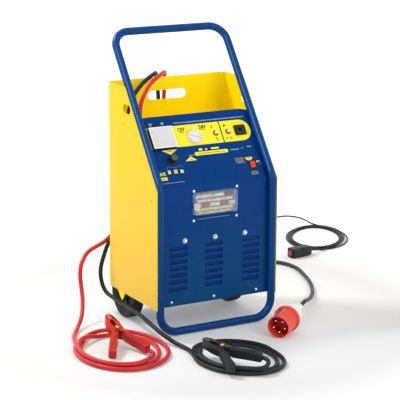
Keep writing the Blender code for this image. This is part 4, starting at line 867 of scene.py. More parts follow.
def case_skin(radius, x_out, y_out):
    def at(u, z):
        if u <= side_len:
            return (-x_out, CASE_FRONT + u, z)
        u -= side_len
        if u <= bend_len:
            a = u / bend_len * math.pi / 2
            return (-(CASE_X - CASE_BEND) - radius * math.cos(a), CASE_BACK - CASE_BEND + radius * math.sin(a), z)
        u -= bend_len
        if u <= back_len:
            return (-(CASE_X - CASE_BEND) + u, y_out, z)
        u -= back_len
        if u <= bend_len:
            a = math.pi / 2 - u / bend_len * math.pi / 2
            return ((CASE_X - CASE_BEND) + radius * math.cos(a), CASE_BACK - CASE_BEND + radius * math.sin(a), z)
        u -= bend_len
        return (x_out, CASE_BACK - CASE_BEND - u, z)
    return at


u1 = side_len
u2 = u1 + bend_len
u3 = u2 + back_len
u4 = u3 + bend_len
u5 = u4 + side_len
slot_y, slot_z = 0.195, 0.6875
round_top = 0.006
left = [(0, CASE_LOW), (u1, CASE_LOW), (u1, CASE_TOP), (top_y - CASE_FRONT + 0.004, CASE_TOP), (top_y - CASE_FRONT - 0.0022, CASE_TOP - 0.003), (0, fold_z)]
right_side = [(u4, CASE_LOW), (u5, CASE_LOW), (u5, fold_z), (u5 - (top_y - CASE_FRONT - 0.0022), CASE_TOP - 0.003), (u5 - (top_y - CASE_FRONT + 0.004), CASE_TOP), (u4, CASE_TOP)]
mid_u = u2 + back_len / 2
back_holes = [stadium(mid_u, 0.69675, 0.070, 0.01575)]
for k in range(7):
    back_holes.append(stadium(mid_u, 0.3775 + 0.0142 * k, 0.046, 0.0028, 6))
back_holes.append(circle(mid_u + 0.120, 0.160, 0.0104, 24))
back_holes.append(circle(mid_u + 0.170, 0.200, 0.0066, 20))
regions = [
    (left, [stadium(slot_y - CASE_FRONT, slot_z, 0.026, 0.015)]),
    (rectangle(u2, u3, CASE_LOW, CASE_TOP), back_holes),
    (right_side, [stadium(u5 - (slot_y - CASE_FRONT), slot_z, 0.026, 0.015)]),
]
for start in (u1, u3):
    for k in range(10):
        regions.append((rectangle(start + bend_len * k / 10, start + bend_len * (k + 1) / 10, CASE_LOW, CASE_TOP), []))
case = add(
    skin(regions, case_skin(CASE_BEND, CASE_X, CASE_BACK), case_skin(CASE_BEND - CASE_T, CASE_X - CASE_T, CASE_BACK - CASE_T)),
    "yellow_case", "yellow", stands_for="case_shell", smooth=25,
)

# rolled rims round the three finger slots
rim_l = [(-CASE_X + CASE_T / 2, y, z) for y, z in stadium(slot_y, slot_z, 0.026, 0.015, 16)]
rim_r = [(CASE_X - CASE_T / 2, y, z) for y, z in stadium(slot_y, slot_z, 0.026, 0.015, 16)]
rim_b = [(x, CASE_BACK - CASE_T / 2, z) for x, z in stadium(0, 0.69675, 0.070, 0.01575, 16)]
for tag, rim in (("left", rim_l), ("right", rim_r), ("back", rim_b)):
    add(hose(rim, 0.0012, 10, closed=True), "slot_rim_" + tag, "yellow", slot="yellow_paint", smooth=180)

# painted-over screws on both sides
heads = []
for y, z in ((0.222, 0.640), (0.0976, 0.555), (0.0354, 0.430), (0.0163, 0.137)):
    for side in (-1, 1):
        prof = [(0, 0.0024), (0.0022, 0.0022), (0.0040, 0.0013), (0.0046, 0.0002), (0.0046, -0.0002), (0, -0.0002)]
        bm = turned([(r, h * side) for r, h in prof], 20, axis="x")
        bmesh.ops.translate(bm, vec=(side * CASE_X, y, z), verts=bm.verts)
        heads.append(bm)
add(join(*heads), "painted_screws", "yellow", slot="yellow_paint", smooth=50)

# ---------------------------------------------------------------- blue panel
PX, PT, PLOW, PVTOP, PCORNER = 0.2108, 0.0015, 0.0925, 0.251, 0.045
slope0 = (PANEL_Y - PANEL_ORIGIN.y) / LEAN.y
fold_at = PANEL_ORIGIN.z + LEAN.z * slope0
q_fold = fold_at - PLOW
q_top = q_fold + PVTOP - slope0
LIP, TOP_LIP = 0.014, 0.012
inner_fold_v = (PANEL_Y + PT - PANEL_ORIGIN.y + PT * OUT.y) / LEAN.y
SOFT = 0.0026            # length of the rounding on each side of the fold


def on_face(x, q, depth=0.0):
    """A point of the panel's outer face, depth metres behind it, rounded at the fold."""
    if q < -1e-9:
        return Vector((x, PANEL_Y - q, PLOW + depth))
    if q <= q_fold - SOFT:
        return Vector((x, PANEL_Y + depth, PLOW + q))
    if q < q_fold + SOFT:
        t = (q - q_fold + SOFT) / (2 * SOFT)
        a = Vector((x, PANEL_Y + depth, PLOW + q_fold - SOFT))
        m = Vector((x, PANEL_Y + depth * 0.9, PLOW + q_fold - depth * 0.2))
        b = PANEL_ORIGIN + LEAN * (slope0 + SOFT) - OUT * depth
        b = Vector((x, b.y, b.z))
        return a * (1 - t) ** 2 + m * 2 * t * (1 - t) + b * t * t
    v = slope0 + (min(q, q_top) - q_fold)
    p = PANEL_ORIGIN + LEAN * v - OUT * (depth + max(0.0, q - q_top))
    return Vector((x, p.y, p.z))


def panel_front(x, q):
    return on_face(x, q)


def panel_back(x, q):
    if -1e-9 <= q < 1e-9:
        return Vector((x, PANEL_Y + PT, PLOW + PT))
    if q >= q_top - 1e-9:
        v = PVTOP - PT
        p = PANEL_ORIGIN + LEAN * v - OUT * (PT + max(0.0, q - q_top - PT))
        return Vector((x, p.y, p.z))
    return on_face(x, q, PT)


up_z = lambda z: z - PLOW
lean_v = lambda v: q_fold + v - slope0
LOUVRE_COLS = (-0.130, -0.004, 0.130)
LOUVRE_ROWS = [0.1435 + 0.0216 * k for k in range(7)]
CORE_BOLTS, CORE_BOLT_Z = (-0.1075, 0.0, 0.1075), 0.296
LOW_SCREWS, LOW_SCREW_Z = (-0.154, -0.0028, 0.152), 0.104
WINDOW = (-0.068, 0.062, 0.367, 0.442)
holes = [round_outline(rectangle(WINDOW[0], WINDOW[1], up_z(WINDOW[2]), up_z(WINDOW[3])), 0.004, 4)]
LOW_EDGE, HIGH_EDGE = 0.0046, 0.0086
for k, cx in enumerate(LOUVRE_COLS):
    for z in LOUVRE_ROWS:
        low = up_z(z + 0.0001 * k - LOW_EDGE)
        holes.append(rectangle(cx - 0.0315, cx + 0.0315, low, low + LOW_EDGE + HIGH_EDGE))
for x in CORE_BOLTS:
    holes.append(circle(x, up_z(CORE_BOLT_Z), 0.0046, 20))
for x in LOW_SCREWS:
    holes.append(circle(x, up_z(LOW_SCREW_Z), 0.0026, 16))
METER, SELECTOR, TIMER = (-0.177, -0.0955, 0.138, 0.2097), (-0.023, 0.169), (-0.1237, 0.0991)
BUTTONS, SOCKET, ROCKER = ((0.0565, 0.175), (0.102, 0.176)), (0.1255, 0.1650, 0.1595, 0.1935), (0.151, 0.0545)
lean_holes = [
    rectangle(METER[0] + 0.007, METER[1] - 0.007, lean_v(METER[2] + 0.008), lean_v(METER[3] - 0.008)),
    circle(SELECTOR[0], lean_v(SELECTOR[1]), 0.0037, 16), circle(TIMER[0], lean_v(TIMER[1]), 0.0037, 16),
    circle(BUTTONS[0][0], lean_v(BUTTONS[0][1]), 0.0058, 20), circle(BUTTONS[1][0], lean_v(BUTTONS[1][1]), 0.0058, 20),
    rectangle(SOCKET[0] + 0.0035, SOCKET[1] - 0.0035, lean_v(SOCKET[2] + 0.0035), lean_v(SOCKET[3] - 0.0035)),
    rectangle(ROCKER[0] - 0.0105, ROCKER[0] + 0.0105, lean_v(ROCKER[1] - 0.0128), lean_v(ROCKER[1] + 0.0128)),
]
NOTCH_X, NOTCH = 0.1865, 0.034
lean_outline = [
    (-PX, q_fold + NOTCH + 0.010), (-NOTCH_X, q_fold + NOTCH), (-NOTCH_X, q_fold + SOFT),
    (NOTCH_X, q_fold + SOFT), (NOTCH_X, q_fold + NOTCH), (PX, q_fold + NOTCH + 0.010),
]
ccx, ccq = PX - PCORNER, q_top - PCORNER
for k in range(15):
    a = math.pi / 2 * k / 14
    lean_outline.append((ccx + PCORNER * math.cos(a), ccq + PCORNER * math.sin(a)))
for k in range(15):
    a = math.pi / 2 + math.pi / 2 * k / 14
    lean_outline.append((-ccx + PCORNER * math.cos(a), ccq + PCORNER * math.sin(a)))
panel_regions = [
    (rectangle(-PX, PX, -LIP, 0.0), []),
    ([
        (-PX, 0.0), (PX, 0.0), (PX, q_fold - NOTCH - 0.010), (NOTCH_X, q_fold - NOTCH),
        (NOTCH_X, q_fold - SOFT), (-NOTCH_X, q_fold - SOFT), (-NOTCH_X, q_fold - NOTCH), (-PX, q_fold - NOTCH - 0.010),
    ], holes),
    (lean_outline, lean_holes),
    (rectangle(-ccx, ccx, q_top, q_top + TOP_LIP), []),
]
for k in range(6):
    panel_regions.append((rectangle(-NOTCH_X, NOTCH_X, q_fold - SOFT + SOFT * k / 3, q_fold - SOFT + SOFT * (k + 1) / 3), []))
add(skin(panel_regions, panel_front, panel_back), "blue_front_panel", "blue_panel", stands_for="front_panel", smooth=18)

# a stiffening strip behind each notch, where the tubes bend
for tag, x0, x1 in (("left", -0.2122, -0.1780), ("right", 0.1780, 0.2122)):
    steps = [q_fold + 0.060 * (k / 8 - 1) for k in range(8)] + [q_fold + 0.060 * k / 8 for k in range(9)]
    regs = [(rectangle(x0, x1, a, b), []) for a, b in zip(steps, steps[1:])]
    add(skin(regs, lambda x, q: on_face(x, q, 0.0052), lambda x, q: on_face(x, q, 0.0064)), "notch_strip_" + tag, "blue_panel", slot="blue_paint", smooth=30)

# each louvre is a strip pressed inwards, hinged on its upper edge
vanes = []
for k, cx in enumerate(LOUVRE_COLS):
    for z in LOUVRE_ROWS:
        z = z + 0.0001 * k
        top, y0 = z + HIGH_EDGE, PANEL_Y
        prof = [(y0 + 0.0000, top), (y0 + 0.0018, top - 0.0026), (y0 + 0.0040, top - 0.0090), (y0 + 0.0046, top - 0.0150),
                (y0 + 0.0055, top - 0.0149), (y0 + 0.0049, top - 0.0086), (y0 + 0.0027, top - 0.0020), (y0 + 0.0014, top + 0.0002)]
        vanes.append(slab([(p[0], p[1]) for p in prof], cx - 0.0315, cx + 0.0315, "x"))
        for s in (-1, 1):
            tri = [(y0 + 0.0002, top), (y0 + 0.0046, top - 0.0149), (y0 + 0.0010, top - 0.0142)]
            xa = cx + s * 0.0315
            vanes.append(slab(tri, min(xa, xa - s * 0.0010), max(xa, xa - s * 0.0010), "x"))
# the vanes take the darker enamel copy as painted shade
add(join(*vanes), "louvre_vanes", "blue_painted_shade", slot="blue_paint")

# blanked-off louvre fields above the bolts, pressed in by a hair
blanks = []
for cx in LOUVRE_COLS:
    for k in range(2):
        z = 0.3215 + 0.0216 * k
        blanks.append(cake(round_outline(rectangle(cx - 0.0315, cx + 0.0315, z - 0.0085, z + 0.0085), 0.002, 3), PANEL_Y + 0.0002, PANEL_Y - 0.00045, 0.0004, "y"))
add(join(*blanks), "louvre_blanks", "blue_panel", slot="blue_paint", smooth=60)

# ---------------------------------------------------------------- fuse window
cover_loop = round_outline(rectangle(-0.081, 0.073, 0.373, 0.445), 0.010, 8)
cover_in = round_outline(rectangle(-0.0795, 0.0715, 0.3745, 0.4435), 0.0085, 8)
bm = cake(cover_loop, PANEL_Y - 0.0003, -0.0030, 0.0030, "y", 4)
bm2 = cake(cover_in, PANEL_Y - 0.0002, -0.0018, 0.0022, "y", 4)
bm.faces.ensure_lookup_table()
bm2.faces.ensure_lookup_table()
back_face = min((f for f in bm.faces if len(f.verts) > 8), key=lambda f: -f.calc_center_median().y)
bmesh.ops.delete(bm, geom=[back_face], context="FACES_ONLY")
back_face = min((f for f in bm2.faces if len(f.verts) > 8), key=lambda f: -f.calc_center_median().y)
bmesh.ops.delete(bm2, geom=[back_face], context="FACES_ONLY")
bmesh.ops.recalc_face_normals(bm, faces=bm.faces)
bmesh.ops.recalc_face_normals(bm2, faces=bm2.faces)
for v in bm2.verts:
    if v.co.y > PANEL_Y - 0.00025:
        v.co.y = PANEL_Y - 0.0003
shell = join(bm, bm2)
rims = [e for e in shell.edges if e.is_boundary]
bmesh.ops.bridge_loops(shell, edges=rims)
add(shell, "window_cover_moulding", "clear", stands_for="window_cover", smooth=30)

fuse = join(
    slab(round_outline(rectangle(-0.0665, 0.0605, 0.3720, 0.4380), 0.003, 3), 0.0178, 0.0350, "y"),
    slab(rectangle(-0.0775, -0.0600, 0.3800, 0.4300), 0.0148, 0.0240, "y"),
    slab(rectangle(0.0550, 0.0715, 0.3800, 0.4300), 0.0148, 0.0240, "y"),
)
add(fuse, "fuse_base_moulding", "fuse_back", stands_for="fuse_base", bevel=0.0006)
# metal strips with a crumpled shine, and the two bolts that hold them
strips = {"fuse_metal": [], "fuse_gold": []}
for (x0, x1, z0, z1, y, kind) in (
    (-0.0700, 0.0300, 0.4250, 0.4345, 0.0122, "fuse_metal"), (-0.0660, 0.0600, 0.4115, 0.4205, 0.0100, "fuse_metal"),
    (-0.0740, 0.0620, 0.3840, 0.3930, 0.0112, "fuse_gold"), (-0.0620, 0.0560, 0.3765, 0.3815, 0.0092, "fuse_metal"),
):
    n = 34
    top, bot = [], []
    for i in range(n + 1):
        f = i / n
        x = x0 + (x1 - x0) * f
        w = 0.0009 * math.sin(i * 2.1 + z0 * 900) + 0.0006 * math.sin(i * 5.3 + z0 * 400)
        d = 0.0013 * math.sin(i * 1.7 + z1 * 700)
        bot.append((x, y + d, z0 + w))
        top.append((x, y - d * 0.6, z1 + w * 0.7))
    bm = bmesh.new()
    rows = [[bm.verts.new(p) for p in bot], [bm.verts.new(p) for p in top],
            [bm.verts.new((p[0], p[1] + 0.0014, p[2])) for p in top], [bm.verts.new((p[0], p[1] + 0.0014, p[2])) for p in bot]]
    for r in range(4):
        a, b = rows[r], rows[(r + 1) % 4]
        for i in range(n):
            bm.faces.new([a[i], a[i + 1], b[i + 1], b[i]])
    bm.faces.new([r[0] for r in rows])
    bm.faces.new([r[-1] for r in rows])
    strips[kind].append(bm)
strips["fuse_metal"].append(slab(round_outline(rectangle(-0.0770, 0.0680, 0.3965, 0.4085), 0.002, 3), 0.0088, 0.0112, "y"))
strips["fuse_metal"].append(slab(round_outline(rectangle(-0.0788, -0.0600, 0.3900, 0.4120), 0.002, 3), 0.0062, 0.0086, "y"))
add(join(*strips["fuse_metal"]), "fuse_strips", "fuse_metal", stands_for="fuse_link", smooth=35)
add(join(*strips["fuse_gold"]), "fuse_strip_gilt", "fuse_gold", slot="zinc_steel", smooth=35)
# a near-black block in the top right of the fuse opening, as painted shade
add(slab(rectangle(0.0340, 0.0625, 0.4265, 0.4425), 0.0100, 0.0175, "y"), "fuse_opening_painted_shade", "dark", slot="black_plastic", bevel=0.0006)
studs = []
for x in (-0.044, -0.030, 0.022, 0.038):
    b = turned([(0, 0.0022), (0.0040, 0.0024), (0.0050, 0.0034), (0.0052, 0.0052), (0.0082, 0.0056), (0.0082, 0.0100), (0, 0.0100)], 24, axis="y")
    bmesh.ops.translate(b, vec=(x, 0.0, 0.4035), verts=b.verts)
    studs.append(b)
add(join(*studs), "fuse_bolts_copper", "fuse_copper", slot="copper", smooth=40)

# a folded lip under the window, in a lighter blue as a painted highlight along it, and the four bright screws
add(slab(round_outline([(0.0128, 0.3622), (0.0096, 0.3612), (0.0088, 0.3590), (0.0128, 0.3580)], 0.0006, 3), -0.0660, 0.0500, "x"), "window_lip", "blue_painted_highlight", slot="blue_paint", bevel=0.0003)
win_screws = []
for x in (-0.0765, 0.0765):
    for z in (0.4496, 0.356):
        head = turned([(0, -0.0032), (0.0018, -0.0031), (0.0038, -0.0022), (0.0050, -0.0006), (0.0050, -0.0001), (0.0028, -0.0001), (0, -0.0001)], 28, axis="y")
        bmesh.ops.translate(head, vec=(x, PANEL_Y, z), verts=head.verts)
        win_screws.append(head)
add(join(*win_screws), "window_screws", "bright_zinc", slot="zinc_steel", smooth=40)

# ---------------------------------------------------------------- front fasteners
for k, x in enumerate(CORE_BOLTS):
    dome = [(0, -0.0088), (0.0022, -0.0086), (0.0042, -0.0078), (0.0058, -0.0064), (0.0068, -0.0046), (0.0071, -0.0022), (0.0080, -0.0021), (0.0084, -0.0017),
            (0.0084, -0.0005), (0.0080, -0.0003), (0.0040, -0.0003), (0.0040, 0.0700), (0, 0.0700)]
    b = turned(dome, 40, axis="y", at=(x, PANEL_Y, CORE_BOLT_Z))
    add(b, "domed_bolt_%d" % (k + 1), "bright_zinc", stands_for="core_bolt_%d" % (k + 1), smooth=35)
for k, x in enumerate(LOW_SCREWS):
    dome = [(0, -0.0040), (0.0018, -0.0038), (0.0036, -0.0028), (0.0048, -0.0012), (0.0050, -0.0003), (0.0022, -0.0003), (0.0022, 0.0085), (0, 0.0085)]
    add(turned(dome, 32, axis="y", at=(x, PANEL_Y, LOW_SCREW_Z)), "low_screw_%d" % (k + 1), "bright_zinc", stands_for="panel_screw_%d" % (k + 1), smooth=35)

# ---------------------------------------------------------------- printing on the leaning panel
H0, H1 = 0.00004, 0.00026
strip_loop = [(-0.181, 0.141), (0.148, 0.141)]
for k in range(25):
    a = -math.pi / 2 + math.pi * k / 24
    strip_loop.append((0.148 + 0.0362 * math.cos(a), 0.17725 + 0.03625 * math.sin(a)))
strip_loop.append((-0.181, 0.2135))
strip_holes = [circle(BUTTONS[0][0], BUTTONS[0][1], 0.0058, 20), circle(BUTTONS[1][0], BUTTONS[1][1], 0.0058, 20)]
strip_holes.append(rectangle(SOCKET[0] + 0.0035, SOCKET[1] - 0.0035, SOCKET[2] + 0.0035, SOCKET[3] - 0.0035))
strip_holes.append(rectangle(METER[0] + 0.007, METER[1] - 0.007, METER[2] + 0.008, METER[3] - 0.008))
strip_holes.append(circle(SELECTOR[0], SELECTOR[1], 0.0037, 16))
add(prism(strip_loop, H0, H1, "z", strip_holes), "control_strip", "decal_yellow", matrix=PANEL, slot="yellow_paint")
add(slab(rectangle(0.0763, 0.0801, 0.141, 0.2135), H0, H1 + 0.0001), "strip_divider", "decal_black", matrix=PANEL, slot="black_plastic")
marks = [glyphs("12V", -0.0600, 0.1985, 0.0115, H0, H1 + 0.0001, 0.0, 0.0007), glyphs("24V", 0.0165, 0.2005, 0.0115, H0, H1 + 0.0001, 0.0, 0.0007)]
for x, v, w, h in ((0.0490, 0.1985, 0.0035, 0.0085), (0.0560, 0.1555, 0.0085, 0.0022), (0.0585, 0.1500, 0.0110, 0.0018), (0.0560, 0.1600, 0.0025, 0.0040),
                   (0.0950, 0.2000, 0.0070, 0.0030), (0.0930, 0.1965, 0.0030, 0.0070), (0.0985, 0.1965, 0.0030, 0.0040),
                   (0.0915, 0.1560, 0.0055, 0.0022), (0.0915, 0.1520, 0.0022, 0.0060), (0.1060, 0.1560, 0.0080, 0.0022), (0.1050, 0.1515, 0.0028, 0.0040), (0.1090, 0.1515, 0.0022, 0.0040),
                   (-0.0600, 0.1895, 0.0150, 0.0022), (0.0165, 0.1915, 0.0150, 0.0022)):
    marks.append(slab(rectangle(x - w / 2, x + w / 2, v - h / 2, v + h / 2), H0, H1 + 0.0001))
arc = []
for k in range(13):
    a = math.radians(150 - 120 * k / 12)
    arc.append((SELECTOR[0] + 0.0265 * math.cos(a), SELECTOR[1] + 0.0265 * math.sin(a)))
for k in range(13):
    a = math.radians(30 + 120 * k / 12)
    arc.append((SELECTOR[0] + 0.0256 * math.cos(a), SELECTOR[1] + 0.0256 * math.sin(a)))
marks.append(slab(arc, H0, H1 + 0.0001))
add(join(*marks), "strip_marks", "decal_black", matrix=PANEL, slot="black_plastic")

pale = [
    dashes(-0.0800, 0.1720, 0.2225, 0.0042, seed=7),
    dashes(-0.0600, -0.0420, 0.1090, 0.0042, seed=3),
    dashes(0.0900, 0.1200, 0.1130, 0.0046, seed=11),
    dashes(0.1290, 0.1380, 0.1150, 0.0030, seed=5),
    dashes(0.1520, 0.1680, 0.1180, 0.0052, seed=9),
    dashes(-0.1780, -0.1020, 0.0255, 0.0022, seed=21),
    dashes(0.1040, 0.1290, 0.0650, 0.0016, seed=31),
    dashes(0.1740, 0.1850, 0.0560, 0.0014, seed=41),
    dashes(0.1400, 0.1600, 0.0330, 0.0012, seed=43),
]
add(join(*pale), "pale_dashes", "decal_white", matrix=PANEL, slot="white_plastic")
tri_down = [(-0.1480, 0.1345), (-0.1204, 0.1185), (-0.0940, 0.1345)]
tri_up = [(-0.0775, 0.0915), (-0.0366, 0.0915), (-0.0553, 0.1055)]
lab = [
    slab(tri_down[::-1], H0, H1), slab(tri_up, H0, H1),
    slab(round_outline(rectangle(-0.0380, 0.0810, 0.1060, 0.1178), 0.0055, 6), H0, H1),
    slab(round_outline(rectangle(-0.0200, -0.0080, 0.1215, 0.1290), 0.0015, 2), H0, H1),
    slab(round_outline(rectangle(0.0020, 0.0100, 0.1220, 0.1265), 0.0010, 2), H0, H1),
    slab(round_outline(rectangle(0.0230, 0.0520, 0.1225, 0.1280), 0.0015, 2), H0, H1),
    slab(rectangle(-0.1790, -0.1580, 0.0520, 0.0560), H0, H1), slab(rectangle(-0.1770, -0.1690, 0.0570, 0.0610), H0, H1),
    slab(rectangle(-0.1660, -0.1600, 0.0575, 0.0625), H0, H1), slab(rectangle(-0.1780, -0.1570, 0.0360, 0.0460), H0, H1),
    slab([(0.1330, 0.0815), (0.1330, 0.0765), (0.1400, 0.0700), (0.1500, 0.0700), (0.1570, 0.0765), (0.1570, 0.0815)][::-1], H0, H1),
    slab(rectangle(0.1685, 0.1735, 0.0610, 0.0665), H0, H1), slab(rectangle(0.1755, 0.1800, 0.0630, 0.0660), H0, H1),
]
add(join(*lab), "yellow_labels", "decal_yellow", matrix=PANEL, slot="yellow_paint")
pale_lab = [
    slab(round_outline(rectangle(-0.1485, -0.1390, 0.0550, 0.0670), 0.0015, 2), H0, H1),
    slab(round_outline(rectangle(-0.1270, -0.1160, 0.0550, 0.0675), 0.0015, 2), H0, H1),
    slab(round_outline(rectangle(-0.1055, -0.0950, 0.0545, 0.0660), 0.0015, 2), H0, H1),
    frame_ring(rectangle(0.1400, 0.1610, 0.0225, 0.0300), rectangle(0.1410, 0.1600, 0.0235, 0.0290), H0, H1),
]
add(join(*pale_lab), "pale_labels", "decal_pale", matrix=PANEL, slot="yellow_paint")
fork = []
for a, b in (((-0.1500, 0.0700), (-0.1437, 0.0800)), ((-0.1437, 0.0800), (-0.1215, 0.0735)), ((-0.1215, 0.0735), (-0.0985, 0.0815)), ((-0.0985, 0.0815), (-0.0940, 0.0720)),
             ((-0.1900 + 0.006, 0.0660), (-0.1700, 0.0680))):
    d = (Vector(b) - Vector(a)).normalized()
    nrm = Vector((-d.y, d.x)) * 0.0005
    fork.append(slab([tuple(Vector(a) - nrm), tuple(Vector(b) - nrm), tuple(Vector(b) + nrm), tuple(Vector(a) + nrm)], H0, H1))
add(join(*fork), "fork_lines", "decal_dim", matrix=PANEL, slot="white_plastic")
dark = [
    glyphs("1", -0.1438, 0.0610, 0.0065, H1, H1 + 0.0001), glyphs("2", -0.1216, 0.0613, 0.0065, H1, H1 + 0.0001), glyphs("3", -0.1003, 0.0603, 0.0065, H1, H1 + 0.0001),
    dashes(-0.1290, -0.1120, 0.1300, 0.0022, H1, H1 + 0.0001, 2), dashes(-0.0600, -0.0500, 0.0962, 0.0035, H1, H1 + 0.0001, 4),
    dashes(-0.0280, 0.0700, 0.1118, 0.0030, H1, H1 + 0.0001, 6), dashes(-0.1760, -0.1600, 0.0410, 0.0030, H1, H1 + 0.0001, 8),
    dashes(0.1380, 0.1530, 0.0772, 0.0034, H1, H1 + 0.0001, 12), dashes(-0.1760, -0.1600, 0.0540, 0.0016, H1, H1 + 0.0001, 18),
]
add(join(*dark), "dark_marks", "decal_black", matrix=PANEL, slot="black_plastic")
box = [slab(rectangle(0.0945, 0.1265, 0.0835 - 0.0032 * k - 0.0022, 0.0835 - 0.0032 * k) if k < 5 else rectangle(0.0985, 0.1165, 0.0835 - 0.0032 * k - 0.0022, 0.0835 - 0.0032 * k), H0, H1) for k in range(6)]
add(join(*box), "small_print_block", "decal_tan", matrix=PANEL, slot="grey_plastic")

# two small indicator lamps in thin rings
lamps, lamp_rings = [], []
for x in (-0.1605, -0.1188):
    lamps.append(turned([(0, 0.0034), (0.0016, 0.0032), (0.0030, 0.0022), (0.0036, 0.0006), (0.0036, -0.0012), (0, -0.0012)], 24, at=(x, 0.2247, 0)))
    lamp_rings.append(turned([(0.0037, 0.0), (0.0060, 0.0), (0.0058, 0.0010), (0.0040, 0.0012)], 24, ring=True, at=(x, 0.2247, 0)))
add(join(*lamps), "indicator_lamps", "lamp", matrix=PANEL, slot="clear_plastic", smooth=50)
add(join(*lamp_rings), "lamp_rings", "decal_dim", matrix=PANEL, slot="grey_plastic", smooth=40)

# ---------------------------------------------------------------- meter
mx0, mx1, mv0, mv1 = METER
body = join(
    frame_ring(round_outline(rectangle(mx0, mx1, mv0, mv1), 0.0022, 4), rectangle(mx0 + 0.003, mx1 - 0.003, mv0 + 0.003, mv1 - 0.003), 0.0003, 0.0125),
    block(mx0 + 0.0028, mx1 - 0.0028, mv0 + 0.0028, mv1 - 0.0028, 0.0003, 0.0060),
    block(mx0 + 0.0074, mx1 - 0.0074, mv0 + 0.0084, mv1 - 0.0084, -0.030, 0.0008),
)
add(body, "meter_case", "black", matrix=PANEL, stands_for="meter_body", bevel=0.0004)
card = join(
    block(mx0 + 0.0032, mx1 - 0.0032, mv0 + 0.0032, mv1 - 0.0032, 0.0062, 0.0070),
    frame_ring(rectangle(mx0 + 0.0031, mx1 - 0.0031, mv0 + 0.0031, mv1 - 0.0031), rectangle(mx0 + 0.0038, mx1 - 0.0038, mv0 + 0.0038, mv1 - 0.0038), 0.0068, 0.0124),
)
add(card, "meter_dial", "dial", matrix=PANEL, slot="white_plastic")
NX, NV = (mx0 + mx1) / 2, mv0 + 0.0125
ticks = []
for k in range(21):
    a = math.radians(135 - 90 * k / 20)
    r0, r1 = 0.0420, 0.0450 if k % 5 else 0.0475
    c, s = math.cos(a), math.sin(a)
    w = 0.00025 if k % 5 else 0.0004
    ticks.append(slab([(NX + c * r0 + s * w, NV + s * r0 - c * w), (NX + c * r1 + s * w, NV + s * r1 - c * w), (NX + c * r1 - s * w, NV + s * r1 + c * w), (NX + c * r0 - s * w, NV + s * r0 + c * w)], 0.0070, 0.0072))
for k in range(5):
    a = math.radians(135 - 90 * k / 4)
    ticks.append(glyphs(str(k * 5), NX + 0.0520 * math.cos(a), NV + 0.0520 * math.sin(a), 0.0036, 0.0070, 0.0072))
ring = []
for k in range(31):
    a = math.radians(135 - 90 * k / 30)
    ring.append((NX + 0.0420 * math.cos(a), NV + 0.0420 * math.sin(a)))
for k in range(31):
    a = math.radians(45 + 90 * k / 30)
    ring.append((NX + 0.0416 * math.cos(a), NV + 0.0416 * math.sin(a)))
ticks.append(slab(ring, 0.0070, 0.0072))
add(join(*ticks), "dial_marks", "dial_ink", matrix=PANEL, slot="grey_plastic")
turn = math.radians(45.0)
blade = [(-0.0010, -0.006), (0.0010, -0.006), (0.00035, 0.040), (-0.00035, 0.040)]
blade = [(NX + p[0] * math.cos(turn) - p[1] * math.sin(turn), NV + p[0] * math.sin(turn) + p[1] * math.cos(turn)) for p in blade]
add(join(slab(blade, 0.0090, 0.0094), turned([(0, 0.0110), (0.0020, 0.0108), (0.0032, 0.0100), (0.0032, 0.0088), (0, 0.0088)], 24, at=(NX, NV, 0))), "meter_pointer", "needle", "needle", PANEL, stands_for="meter_needle", bevel=0.0001)
pane = join(
    cake(round_outline(rectangle(mx0 + 0.0030, mx1 - 0.0030, mv0 + 0.0030, mv1 - 0.0030), 0.0015, 4), 0.0128, 0.0146, 0.0006),
)
add(pane, "meter_glass", "lens", matrix=PANEL, stands_for="meter_lens", smooth=30)
add(frame_ring(round_outline(rectangle(mx0 + 0.0004, mx1 - 0.0004, mv0 + 0.0004, mv1 - 0.0004), 0.0022, 5), round_outline(rectangle(mx0 + 0.0030, mx1 - 0.0030, mv0 + 0.0030, mv1 - 0.0030), 0.0015, 4), 0.0126, 0.0148),
    "meter_bezel", "dial", matrix=PANEL, slot="white_plastic")

# ---------------------------------------------------------------- knobs, buttons, socket, rocker
knob_m = PANEL @ Matrix.Translation((*SELECTOR, 0.0))
dome = soften([(0, -0.0080), (0.0032, -0.0080), (0.0032, 0.0008), (0.0235, 0.0008), (0.0238, 0.0040), (0.0212, 0.0110), (0.0196, 0.0128), (0, 0.0128)], 0.0014, 4)
add(turned(dome, 64), "selector_skirt", "ivory", "selector", knob_m, stands_for="selector_knob", smooth=35)
bar_pts = round_outline([(-0.0215, -0.0062), (0.0215, -0.0052), (0.0245, 0.0), (0.0215, 0.0052), (-0.0215, 0.0062)], 0.0022, 5)
add(cake(bar_pts, 0.0060, 0.0225, 0.0024, "z", 4), "selector_grip", "ivory", "selector", knob_m @ Matrix.Rotation(math.radians(-23.0), 4, "Z"), slot="white_plastic", smooth=40)
add(slab(rectangle(0.0080, 0.0215, -0.0006, 0.0006), 0.0222, 0.02285), "selector_pointer_line", "decal_dim", "selector", knob_m @ Matrix.Rotation(math.radians(-23.0), 4, "Z"), slot="grey_plastic")

